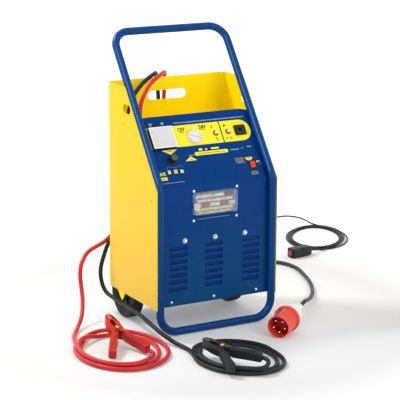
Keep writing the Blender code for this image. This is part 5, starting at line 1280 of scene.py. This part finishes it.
timer_m = PANEL @ Matrix.Translation((*TIMER, 0.0))
prof = soften([(0, -0.0080), (0.0032, -0.0080), (0.0032, 0.0008), (0.0150, 0.0008), (0.0150, 0.0032), (0.0128, 0.0040), (0.0122, 0.0215), (0.0112, 0.0236), (0, 0.0236)], 0.0010, 3)
bm = turned(prof, 72)
for v in bm.verts:
    r = math.hypot(v.co.x, v.co.y)
    if 0.0045 < v.co.z < 0.0205 and r > 0.011:
        a = math.atan2(v.co.y, v.co.x)
        k = 1.0 + 0.018 * math.cos(a * 24)
        v.co.x *= k
        v.co.y *= k
add(bm, "timer_body", "black", "timer", timer_m, stands_for="timer_knob", smooth=35)
add(join(turned([(0, 0.0234), (0.0098, 0.0234), (0.0100, 0.0240), (0.0096, 0.0243), (0, 0.0243)], 40), slab(rectangle(-0.0007, 0.0007, -0.0108, -0.0030), 0.0240, 0.0246)), "timer_cap", "grey", "timer", timer_m, slot="grey_plastic", smooth=40)

for k, (x, v) in enumerate(BUTTONS):
    bmx = PANEL @ Matrix.Translation((x, v, 0.0))
    cap = soften([(0, -0.0100), (0.0072, -0.0100), (0.0072, -0.0052), (0.0050, -0.0052), (0.0050, 0.0072), (0.0046, 0.0088), (0.0030, 0.0096), (0, 0.0098)], 0.0006, 3)
    add(turned(cap, 36), "button_cap_%d" % (k + 1), "button", "button_%d" % (k + 1), bmx, stands_for="push_button_%d" % (k + 1), smooth=40)
    # the collar is brown as painted shadow round the button
    collar = [(0.0061, 0.0003), (0.0090, 0.0003), (0.0092, 0.0016), (0.0082, 0.0034), (0.0066, 0.0036), (0.0061, 0.0030)]
    add(turned(collar, 36, ring=True), "button_collar_%d" % (k + 1), "painted_shadow_brown", matrix=bmx, slot="grey_plastic", smooth=40)

sx0, sx1, sv0, sv1 = SOCKET
scx, scv = (sx0 + sx1) / 2 - 0.002, (sv0 + sv1) / 2
sock = join(
    prism(round_outline(rectangle(sx0, sx1, sv0, sv1), 0.0025, 5), 0.0003, 0.0045, "z", [circle(scx, scv, 0.0112, 40)]),
    prism(rectangle(sx0 + 0.0039, sx1 - 0.0039, sv0 + 0.0039, sv1 - 0.0039), -0.020, 0.0006, "z", [circle(scx, scv, 0.0104, 40)]),
    turned([(0, -0.0195), (0.0106, -0.0195), (0.0106, -0.0120), (0, -0.0120)], 40, at=(scx, scv, 0)),
)
add(sock, "round_socket_block", "black", matrix=PANEL, stands_for="socket_block", bevel=0.0004)
add(turned([(0.0086, -0.0040), (0.0110, -0.0040), (0.0124, 0.0045), (0.0124, 0.0062), (0.0112, 0.0070), (0.0098, 0.0070), (0.0088, 0.0060)], 48, ring=True, at=(scx, scv, 0)), "socket_ring", "dark_green", matrix=PANEL, slot="black_plastic", smooth=40)
pins = [turned([(0, -0.002), (0.0008, -0.0024), (0.0011, -0.0036), (0.0011, -0.0120), (0, -0.0120)], 12, at=(scx + 0.0045 * math.cos(math.radians(90 + 120 * k)), scv + 0.0045 * math.sin(math.radians(90 + 120 * k)), 0)) for k in range(3)]
add(join(*pins), "socket_pins", "brass", matrix=PANEL, slot="zinc_steel", smooth=40)
sock_screws = []
for x, v in ((sx0 + 0.0042, sv0 + 0.0042), (sx1 - 0.0042, sv0 + 0.0042), (sx0 + 0.0042, sv1 - 0.0042), (sx1 - 0.0042, sv1 - 0.0042)):
    sock_screws.append(turned([(0, 0.0056), (0.0010, 0.0055), (0.0017, 0.0049), (0.0018, 0.0043), (0, 0.0043)], 16, at=(x, v, 0)))
add(join(*sock_screws), "socket_screws", "dark_green", matrix=PANEL, slot="zinc_steel", smooth=40)

rx, rv = ROCKER
rock_m = PANEL @ Matrix.Translation((rx, rv, 0.0))
rf = join(
    frame_ring(round_outline(rectangle(-0.0130, 0.0130, -0.0155, 0.0155), 0.0018, 4), rectangle(-0.0088, 0.0088, -0.0113, 0.0113), 0.0003, 0.0026),
    frame_ring(rectangle(-0.0102, 0.0102, -0.0125, 0.0125), rectangle(-0.0089, 0.0089, -0.0114, 0.0114), -0.0160, 0.0012),
    block(-0.0100, 0.0100, -0.0123, 0.0123, -0.0160, -0.0120),
)
add(rf, "rocker_surround", "black", matrix=rock_m, stands_for="rocker_frame", bevel=0.0005)
tilt = math.radians(8.0)
rk = [(-0.0092, -0.0040), (0.0092, -0.0040), (0.0102, 0.0040), (0.0050, 0.0033), (0.0, 0.0029), (-0.0050, 0.0033), (-0.0102, 0.0040)]
rk = [(p[0] * math.cos(tilt) - p[1] * math.sin(tilt), p[0] * math.sin(tilt) + p[1] * math.cos(tilt)) for p in rk]
add(slab(rk, -0.0083, 0.0083, "x"), "rocker_key_red", "rocker", "rocker_key", rock_m @ Matrix.Translation((0, 0, 0.0010)), stands_for="rocker", bevel=0.0007, segments=3, smooth=40)

# ---------------------------------------------------------------- wheels
for tag, x in (("left", -0.187), ("right", 0.187)):
    at = (x, 0.247, 0.080)
    half = [(0.0508, 0.0150), (0.0600, 0.0178), (0.0670, 0.0186), (0.0688, 0.0178), (0.0704, 0.0188), (0.0745, 0.0190), (0.0776, 0.0178), (0.0794, 0.0156), (0.0800, 0.0130)]
    tread = []
    for c in (0.0098, 0.0033, -0.0033, -0.0098):
        tread += [(0.0800, c + 0.0013), (0.0788, c + 0.0007), (0.0788, c - 0.0007), (0.0800, c - 0.0013)]
    prof = half + tread + [(r, -h) for r, h in reversed(half)]
    add(turned(prof, 96, True, "x", at), "wheel_tyre_" + tag, "tyre", "wheel_" + tag, stands_for="tyre_" + tag, smooth=28)
    bore = 0.0081
    hub = [(bore, -0.0160), (0.0150, -0.0160), (0.0168, -0.0150), (0.0180, -0.0085), (0.0200, -0.0070), (0.0405, -0.0070), (0.0430, -0.0085), (0.0446, -0.0130), (0.0460, -0.0138), (0.0500, -0.0135)]
    hub = hub + [(r, -h) for r, h in reversed(hub)]
    web = [turned(hub, 72, True, "x", at)]
    for k in range(6):
        a = 2 * math.pi * k / 6
        d, s = Vector((math.cos(a), math.sin(a))), Vector((-math.sin(a), math.cos(a))) * 0.0016
        for lo, hi in ((-0.0132, -0.0060), (0.0060, 0.0132)):
            loop = [d * 0.0165 - s, d * 0.0440 - s, d * 0.0440 + s, d * 0.0165 + s]
            rib = slab([(p.x, p.y) for p in loop], lo, hi, "x")
            bmesh.ops.translate(rib, vec=at, verts=rib.verts)
            web.append(rib)
    add(join(*web), "wheel_hub_ribbed_" + tag, "hub", "wheel_" + tag, stands_for="wheel_hub_" + tag, smooth=30)

# ---------------------------------------------------------------- glands
def gland(name, loc, axis, hole_r, flange_r, exit_r, flange_t, relief, node):
    """Flange, locking ring inside and a ribbed tapering sleeve on the cord."""
    prof = [(exit_r - 0.0001, -0.010), (hole_r, -0.010), (hole_r, 0.0003), (flange_r, 0.0003), (flange_r, flange_t - 0.001), (flange_r - 0.001, flange_t)]
    n = 5
    a, b = exit_r + 0.0034, exit_r + 0.0008
    z0, z1 = flange_t + 0.0006, relief
    prof.append((a, z0))
    for k in range(n):
        f0, f1 = (k + 0.55) / n, (k + 1) / n
        r0, r1 = a + (b - a) * f0, a + (b - a) * f1
        prof += [(r0, z0 + (z1 - z0) * f0 - 0.0006), (r0 - 0.0006, z0 + (z1 - z0) * f0), (r1 - 0.0006 if k < n - 1 else r1, z0 + (z1 - z0) * f1 - 0.0006), (r1, z0 + (z1 - z0) * f1)]
    prof.append((exit_r - 0.0001, relief))
    return add(turned(prof, 36, True, axis, loc), name, "black", stands_for=node, smooth=35)


gland("sleeve_red", (-0.148, 0.235, 0.6015), "z", 0.0090, 0.0130, 0.0070, 0.0055, 0.030, "lead_gland_red")
gland("sleeve_black", (-0.163, 0.283, 0.6015), "z", 0.0090, 0.0130, 0.0070, 0.0055, 0.030, "lead_gland_black")
gland("sleeve_mains", (0.120, 0.332, 0.160), "y", 0.0100, 0.0140, 0.0068, 0.0060, 0.036, "mains_gland")
gland("sleeve_remote", (0.170, 0.332, 0.200), "y", 0.0062, 0.0090, 0.0030, 0.0040, 0.026, "remote_gland")

# ---------------------------------------------------------------- plug
plug_m = HOME @ Matrix.Translation(Vector((0.117, -0.178, 0.0366))) @ Vector((0.801, 0.593, 0.0800)).normalized().to_track_quat("Z", "Y").to_matrix().to_4x4()
shroud = [turned([(0, 0.0620), (0.0322, 0.0620), (0.0326, 0.0010), (0.0334, 0.0), (0.0352, 0.0), (0.0360, 0.0010), (0.0363, 0.0660), (0.0372, 0.0680), (0.0414, 0.0692), (0.0422, 0.0704),
                  (0.0422, 0.0806), (0.0414, 0.0820), (0.0392, 0.0840), (0, 0.0840)], 72)]
for a, w, h in ((90, 0.0075, 0.0030), (-30, 0.0030, 0.0014), (210, 0.0030, 0.0014)):
    c = Matrix.Rotation(math.radians(a), 4, "Z")
    rib = slab(rectangle(0.0352, 0.0360 + h, -w / 2, w / 2), 0.0030, 0.0690)
    rib.transform(c)
    shroud.append(rib)
add(join(*shroud), "plug_collar_shroud", "plug_red", matrix=plug_m, stands_for="plug_shroud", smooth=35)
rear = soften([(0, 0.0843), (0.0345, 0.0843), (0.0352, 0.0900), (0.0340, 0.1180), (0.0305, 0.1310), (0.0185, 0.1550), (0.0150, 0.1600), (0.0150, 0.1640), (0.0142, 0.1640), (0.0142, 0.1780), (0.0090, 0.1900), (0, 0.1900)], 0.0020, 3)
bm = turned(rear, 96)
for v in bm.verts:
    if 0.0870 < v.co.z < 0.1290:
        a = math.atan2(v.co.y, v.co.x)
        k = 1.0 + 0.012 * max(0.0, math.cos(a * 10))
        v.co.x *= k
        v.co.y *= k
    elif 0.1645 < v.co.z < 0.1775:
        a = math.atan2(v.co.y, v.co.x)
        k = 1.0 - 0.05 * abs(math.sin(a * 6))
        v.co.x *= k
        v.co.y *= k
add(bm, "plug_grip", "plug_white", matrix=plug_m, stands_for="plug_rear", smooth=30)
add(turned([(0, 0.0385), (0.0110, 0.0385), (0.0120, 0.0400), (0.0300, 0.0400), (0.0320, 0.0410), (0.0322, 0.0617), (0, 0.0617)], 64), "plug_core", "plug_inner", matrix=plug_m, stands_for="plug_insert", smooth=40)
pins = []
for k in range(5):
    a = math.radians(270 + 72 * k)
    pins.append(turned([(0, 0.0076), (0.0018, 0.0078), (0.0030, 0.0092), (0.0034, 0.0112), (0.0034, 0.0405), (0, 0.0405)], 20, at=(0.0195 * math.cos(a), 0.0195 * math.sin(a), 0)))
add(join(*pins), "plug_pins", "brass", matrix=plug_m, slot="zinc_steel", smooth=50)

# ---------------------------------------------------------------- handset
hand = HOME @ Matrix.Translation((0.648, 0.5814, 0.0185)) @ Matrix.Rotation(math.radians(8.8), 4, "Z")
grip = round_outline([(-0.0200, -0.0178), (0.0200, -0.0178), (0.0200, 0.0178), (-0.0200, 0.0178)], 0.0060, 6)


def grip_body():
    bm = bmesh.new()
    rows = []
    for x, k in ((0.0006, 0.86), (0.0, 0.90), (0.0010, 0.955), (0.0040, 1.0), (0.0300, 1.0), (0.0320, 0.975), (0.0340, 1.0), (0.0620, 1.0), (0.0780, 0.97), (0.0860, 0.88), (0.0895, 0.70)):
        rows.append([bm.verts.new((x, p[0] * k, p[1] * k)) for p in grip])
    n = len(grip)
    for a, b in zip(rows, rows[1:]):
        for i in range(n):
            bm.faces.new([a[i], a[(i + 1) % n], b[(i + 1) % n], b[i]])
    bm.faces.new(rows[-1])
    inner = [bm.verts.new((0.0006, 0.0122 * math.cos(math.atan2(p[1], p[0])), 0.0122 * math.sin(math.atan2(p[1], p[0])))) for p in grip]
    deep = [bm.verts.new((0.0160, v.co.y, v.co.z)) for v in inner]
    for i in range(n):
        bm.faces.new([rows[0][i], rows[0][(i + 1) % n], inner[(i + 1) % n], inner[i]])
        bm.faces.new([inner[i], inner[(i + 1) % n], deep[(i + 1) % n], deep[i]])
    bm.faces.new(deep)
    return bm


sleeve = [(0, 0.0880), (0.0105, 0.0880), (0.0098, 0.0915)]
for k in range(5):
    z = 0.0925 + 0.0040 * k
    r = 0.0090 - 0.0010 * k
    sleeve += [(r, z), (r, z + 0.0022), (r - 0.0012, z + 0.0026), (r - 0.0012, z + 0.0036)]
sleeve += [(0.0042, 0.1120), (0, 0.1120)]
add(join(grip_body(), turned(sleeve, 32, axis="x")), "handset_grip", "handset", matrix=hand, stands_for="handset", smooth=35)
add(turned([(0.0104, 0.0004), (0.0150, 0.0004), (0.0150, -0.0022), (0.0138, -0.0034), (0.0118, -0.0034), (0.0104, -0.0020)], 40, True, "x"), "handset_button_ring", "black", matrix=hand, slot="black_plastic", smooth=40)
cap = soften([(0, 0.0110), (0.0100, 0.0110), (0.0100, -0.0030), (0.0090, -0.0056), (0.0040, -0.0068), (0, -0.0070)], 0.0012, 3)
add(turned(cap, 40, axis="x"), "handset_push", "handset_red", "handset_key", hand, stands_for="handset_button", smooth=40)


# ---------------------------------------------------------------- battery clamps
def clamp(tag, mat, inlay, pivot, yaw, pitch, roll):
    """Two insulated arms on one pin, with lengthwise ribs, jaw inlays and a spring."""
    a = Vector((math.cos(pitch) * math.cos(yaw), math.cos(pitch) * math.sin(yaw), math.sin(pitch)))
    b0 = Vector((math.sin(yaw), -math.cos(yaw), 0.0))
    n0 = b0.cross(a)
    b = b0 * math.cos(roll) + n0 * math.sin(roll)
    n = n0 * math.cos(roll) - b0 * math.sin(roll)
    m = Matrix((a, -b, n)).transposed().to_4x4()
    m.translation = Vector(pivot)
    m = HOME @ m
    HANDLE, SPLAY, JAW = 0.124, math.radians(27.0), 0.088
    ex, ey = HANDLE * math.cos(SPLAY), HANDLE * math.sin(SPLAY)
    d = Vector((-math.cos(SPLAY), math.sin(SPLAY)))
    s = Vector((math.sin(SPLAY), math.cos(SPLAY)))
    end = Vector((-ex, ey))
    arm = [
        (0.0090, 0.0006), (0.0140, 0.0030), (0.0250, 0.0070), (0.0400, 0.0075), (0.0500, 0.0050), (0.0580, 0.0006),
        (JAW, 0.0006), (JAW, 0.0050), (0.0820, 0.0100), (0.0680, 0.0150), (0.0450, 0.0190), (0.0200, 0.0200), (-0.0050, 0.0190),
        tuple(end + s * 0.0130 - d * 0.0040), tuple(end + s * 0.0100 + d * 0.0010), tuple(end - s * 0.0090 + d * 0.0010),
        tuple(end - s * 0.0120 - d * 0.0030), (-0.0110, 0.0050), (-0.0090, 0.0030),
    ]
    radii = [0, 0.003, 0.006, 0.006, 0.004, 0.001, 0.001, 0.002, 0.004, 0.006, 0.010, 0.010, 0.010, 0.004, 0.002, 0.002, 0.004, 0.003, 0]
    arm = round_outline(arm, radii, 4)
    thick, ear_out = 0.0127, 0.0162
    body_name = tag + "_clamp_arm"
    for side, body, node in ((-1, "root", tag + "_clamp_fixed_arm"), (1, body_name, tag + "_clamp_moving_arm")):
        loop = [(x, y * side) for x, y in arm]
        if side < 0:
            loop = loop[::-1]
        add(slab(loop, -thick, thick), "%s_clamp_%s" % (tag, "lead_side" if side < 0 else "free_side"), mat, body, m, stands_for=node, bevel=0.0034, segments=4, smooth=40)
        ribs = []
        for off in (-0.0065, -0.0022, 0.0022, 0.0065):
            p0, p1 = d * 0.026 + s * off, d * 0.112 + s * (off * 1.05)
            for z in (thick, -thick):
                pts = [Vector((p0.x, p0.y * side, z)).lerp(Vector((p1.x, p1.y * side, z)), k / 8) for k in range(9)]
                ribs.append(hose(pts, [0.0004] + [0.0011] * 7 + [0.0004], 8))
        for z in (-0.0066, 0.0, 0.0066):
            p0, p1 = d * 0.030 + s * 0.0162, d * 0.112 + s * 0.0133
            pts = [Vector((p0.x, p0.y * side, z)).lerp(Vector((p1.x, p1.y * side, z)), k / 8) for k in range(9)]
            ribs.append(hose(pts, [0.0004] + [0.0011] * 7 + [0.0004], 8))
        add(join(*ribs), "%s_grip_ribs_%s" % (tag, "lead" if side < 0 else "free"), mat, body, m, slot="red_plastic" if tag == "red" else "black_plastic", smooth=60)
        tooth = [(0.0590, 0.0003), (0.0870, 0.0003), (0.0870, 0.0030), (0.0590, 0.0030)]
        tooth = [(x, y * side) for x, y in tooth]
        add(slab(tooth if side > 0 else tooth[::-1], -0.0132, 0.0132), "%s_jaw_plate_%s" % (tag, "lead" if side < 0 else "free"), "jaw", body, m, slot="copper", bevel=0.0004)
    # open pocket in the jaw's upper face
    inner = round_outline([(0.0330, -0.0155), (0.0330, -0.0095), (0.0560, -0.0068), (0.0800, -0.0050), (0.0790, -0.0088), (0.0660, -0.0125), (0.0480, -0.0155)], 0.0015, 3)
    add(slab(inner, thick + 0.0001, thick + 0.0006), tag + "_jaw_inlay", inlay, "root", m, slot="copper", bevel=0.0002)
    for k, x in enumerate((0.0430, 0.0620)):
        add(turned([(0, thick + 0.0020), (0.0016, thick + 0.0018), (0.0024, thick + 0.0010), (0.0024, thick), (0, thick)], 20, at=(x, -0.0115 + 0.0015 * k, 0)), "%s_jaw_rivet_%d" % (tag, k + 1), "dark", "root", m, slot="zinc_steel", smooth=40)
    # cheeks of the arm that carries the pin
    cheek = round_outline([(-0.0200, -0.0180), (0.0400, -0.0180), (0.0400, -0.0100), (0.0120, 0.0020), (0.0060, 0.0100), (-0.0060, 0.0100), (-0.0120, 0.0020), (-0.0200, -0.0085)], 0.003, 4)
    for z0, z1 in ((0.0130, ear_out), (-ear_out, -0.0130)):
        add(slab(cheek, z0, z1), "%s_cheek_%s" % (tag, "top" if z0 > 0 else "under"), mat, "root", m, slot="red_plastic" if tag == "red" else "black_plastic", bevel=0.0008, segments=3, smooth=40)
    coil_pts = []
    for k in range(91):
        t = 2 * math.pi * k / 30
        coil_pts.append((0.0062 * math.cos(t), 0.0062 * math.sin(t), ear_out + 0.0009 + 0.0016 * t / (2 * math.pi)))
    coil_pts = [(-0.0240, -0.0148, ear_out + 0.0009), (-0.0120, -0.0100, ear_out + 0.0009)] + coil_pts
    add(hose(catmull(coil_pts, 3), 0.0008, 10), tag + "_clamp_spring", "spring", "root", m, slot="copper", smooth=180)
    add(turned([(0, ear_out + 0.0066), (0.0020, ear_out + 0.0064), (0.0036, ear_out + 0.0054), (0.0040, ear_out + 0.0042), (0.0030, ear_out + 0.0040), (0.0030, -ear_out - 0.0010), (0.0050, -ear_out - 0.0012), (0.0046, -ear_out - 0.0030), (0, -ear_out - 0.0034)], 28), tag + "_clamp_pin", "zinc", "root", m, slot="zinc_steel", smooth=40)


clamp("red", "clamp_red", "jaw_dark", (-0.3526, -0.0082, 0.0445), math.radians(84.6), math.radians(15.0), math.radians(1.8))
clamp("black", "clamp_black", "jaw", (-0.1512, -0.2982, 0.0405), math.radians(99.4), math.radians(3.5), math.radians(5.6))


lay_cord("battery_lead_red", red_route + [tuple(p) for p in coil(RED_OVAL, red_turns)] + red_end, LEAD_D, "lead_red",
         ["red_lead", "red_coil"])
lay_cord("battery_lead_black", black_route + [tuple(p) for p in coil(BLACK_OVAL, black_turns)] + black_end, LEAD_D, "lead_black",
         ["black_lead", "black_coil"])
lay_cord("mains_cord", mains_route, MAINS_D, "mains", ["mains_lead"])
lay_cord("remote_cord", remote_route + [tuple(p) for p in coil(REMOTE_OVAL, remote_turns)] + hs, REMOTE_D, "remote",
         ["remote_lead", "remote_coil"], sides=4)


# ---------------------------------------------------------------- floor and light
def floor_and_sweep():
    """A plain white floor that curves up into a backdrop far behind. It glows more with distance to keep the backdrop
    white, and glows a little right under the charger as painted light that lifts the shadow there.
    """
    bm = bmesh.new()
    xs = (-12.0, 12.0)
    prof = [(-9.0, 0.0), (5.0, 0.0)]
    for k in range(1, 13):
        a = math.pi / 2 * k / 12
        prof.append((5.0 + 3.0 * math.sin(a), 3.0 - 3.0 * math.cos(a)))
    prof.append((8.0, 9.0))
    rows = [[bm.verts.new((x, y, z - 0.0002)) for x in xs] for y, z in prof]
    for a, b in zip(rows, rows[1:]):
        bm.faces.new([a[0], a[1], b[1], b[0]])
    me = bpy.data.meshes.new("floor")
    bm.to_mesh(me)
    bm.free()
    me.shade_smooth()
    o = bpy.data.objects.new("floor", me)
    scene.collection.objects.link(o)
    m, t, b, coord = _tree("floor_white")
    n = _noise(t, coord, 1.5, 3.0)
    t.links.new(_mix(t, _range(t, n.outputs["Fac"], 0.0, 1.0), (0.65, 0.65, 0.655), (0.67, 0.67, 0.675)), b.inputs["Base Color"])
    b.inputs["Roughness"].default_value = 0.7
    b.inputs["Specular IOR Level"].default_value = 0.2
    b.inputs["Emission Color"].default_value = (1.0, 1.0, 1.0, 1.0)
    far = t.nodes.new("ShaderNodeVectorMath")
    far.operation = "LENGTH"
    t.links.new(coord.outputs["Object"], far.inputs[0])
    # painted light: extra glow right under the charger lifts its shadow
    under_charger_painted_light = _range(t, far.outputs["Value"], 0.16, 0.02, 0.35, 0.70)
    away = _range(t, far.outputs["Value"], 0.0, 0.60, 0.72, 1.60)
    glow = t.nodes.new("ShaderNodeMath")
    glow.operation = "ADD"
    t.links.new(under_charger_painted_light, glow.inputs[0])
    t.links.new(away, glow.inputs[1])
    t.links.new(glow.outputs["Value"], b.inputs["Emission Strength"])
    me.materials.append(m)


floor_and_sweep()


def area(name, at, aim, size, power, colour=(1, 1, 1), size_y=None):
    l = bpy.data.lights.new(name, "AREA")
    l.energy = power
    l.color = colour
    l.size = size
    if size_y:
        l.shape = "RECTANGLE"
        l.size_y = size_y
    o = bpy.data.objects.new(name, l)
    o.location = at
    o.rotation_euler = (Vector(aim) - Vector(at)).to_track_quat("-Z", "Y").to_euler()
    scene.collection.objects.link(o)
    return o


area("key", (-1.7, 1.9, 3.6), (0.0, 0.0, 0.1), 0.8, 105.0)
streak = area("streak", (-2.82, -1.33, 3.11), (0.0, 0.0, 0.6), 1.2, 120.0)
only_tube = bpy.data.collections.new("frame_sheen")
only_tube.objects.link(bpy.data.objects["bent_tube_frame"])
streak.light_linking.receiver_collection = only_tube
area("front_soft", (1.0, -4.4, 2.6), (0.0, 0.0, 0.5), 2.0, 55.0)
world = bpy.data.worlds.new("studio")
world.use_nodes = True
world.node_tree.nodes["Background"].inputs["Color"].default_value = (1.0, 1.0, 1.0, 1.0)
world.node_tree.nodes["Background"].inputs["Strength"].default_value = 0.86
scene.world = world
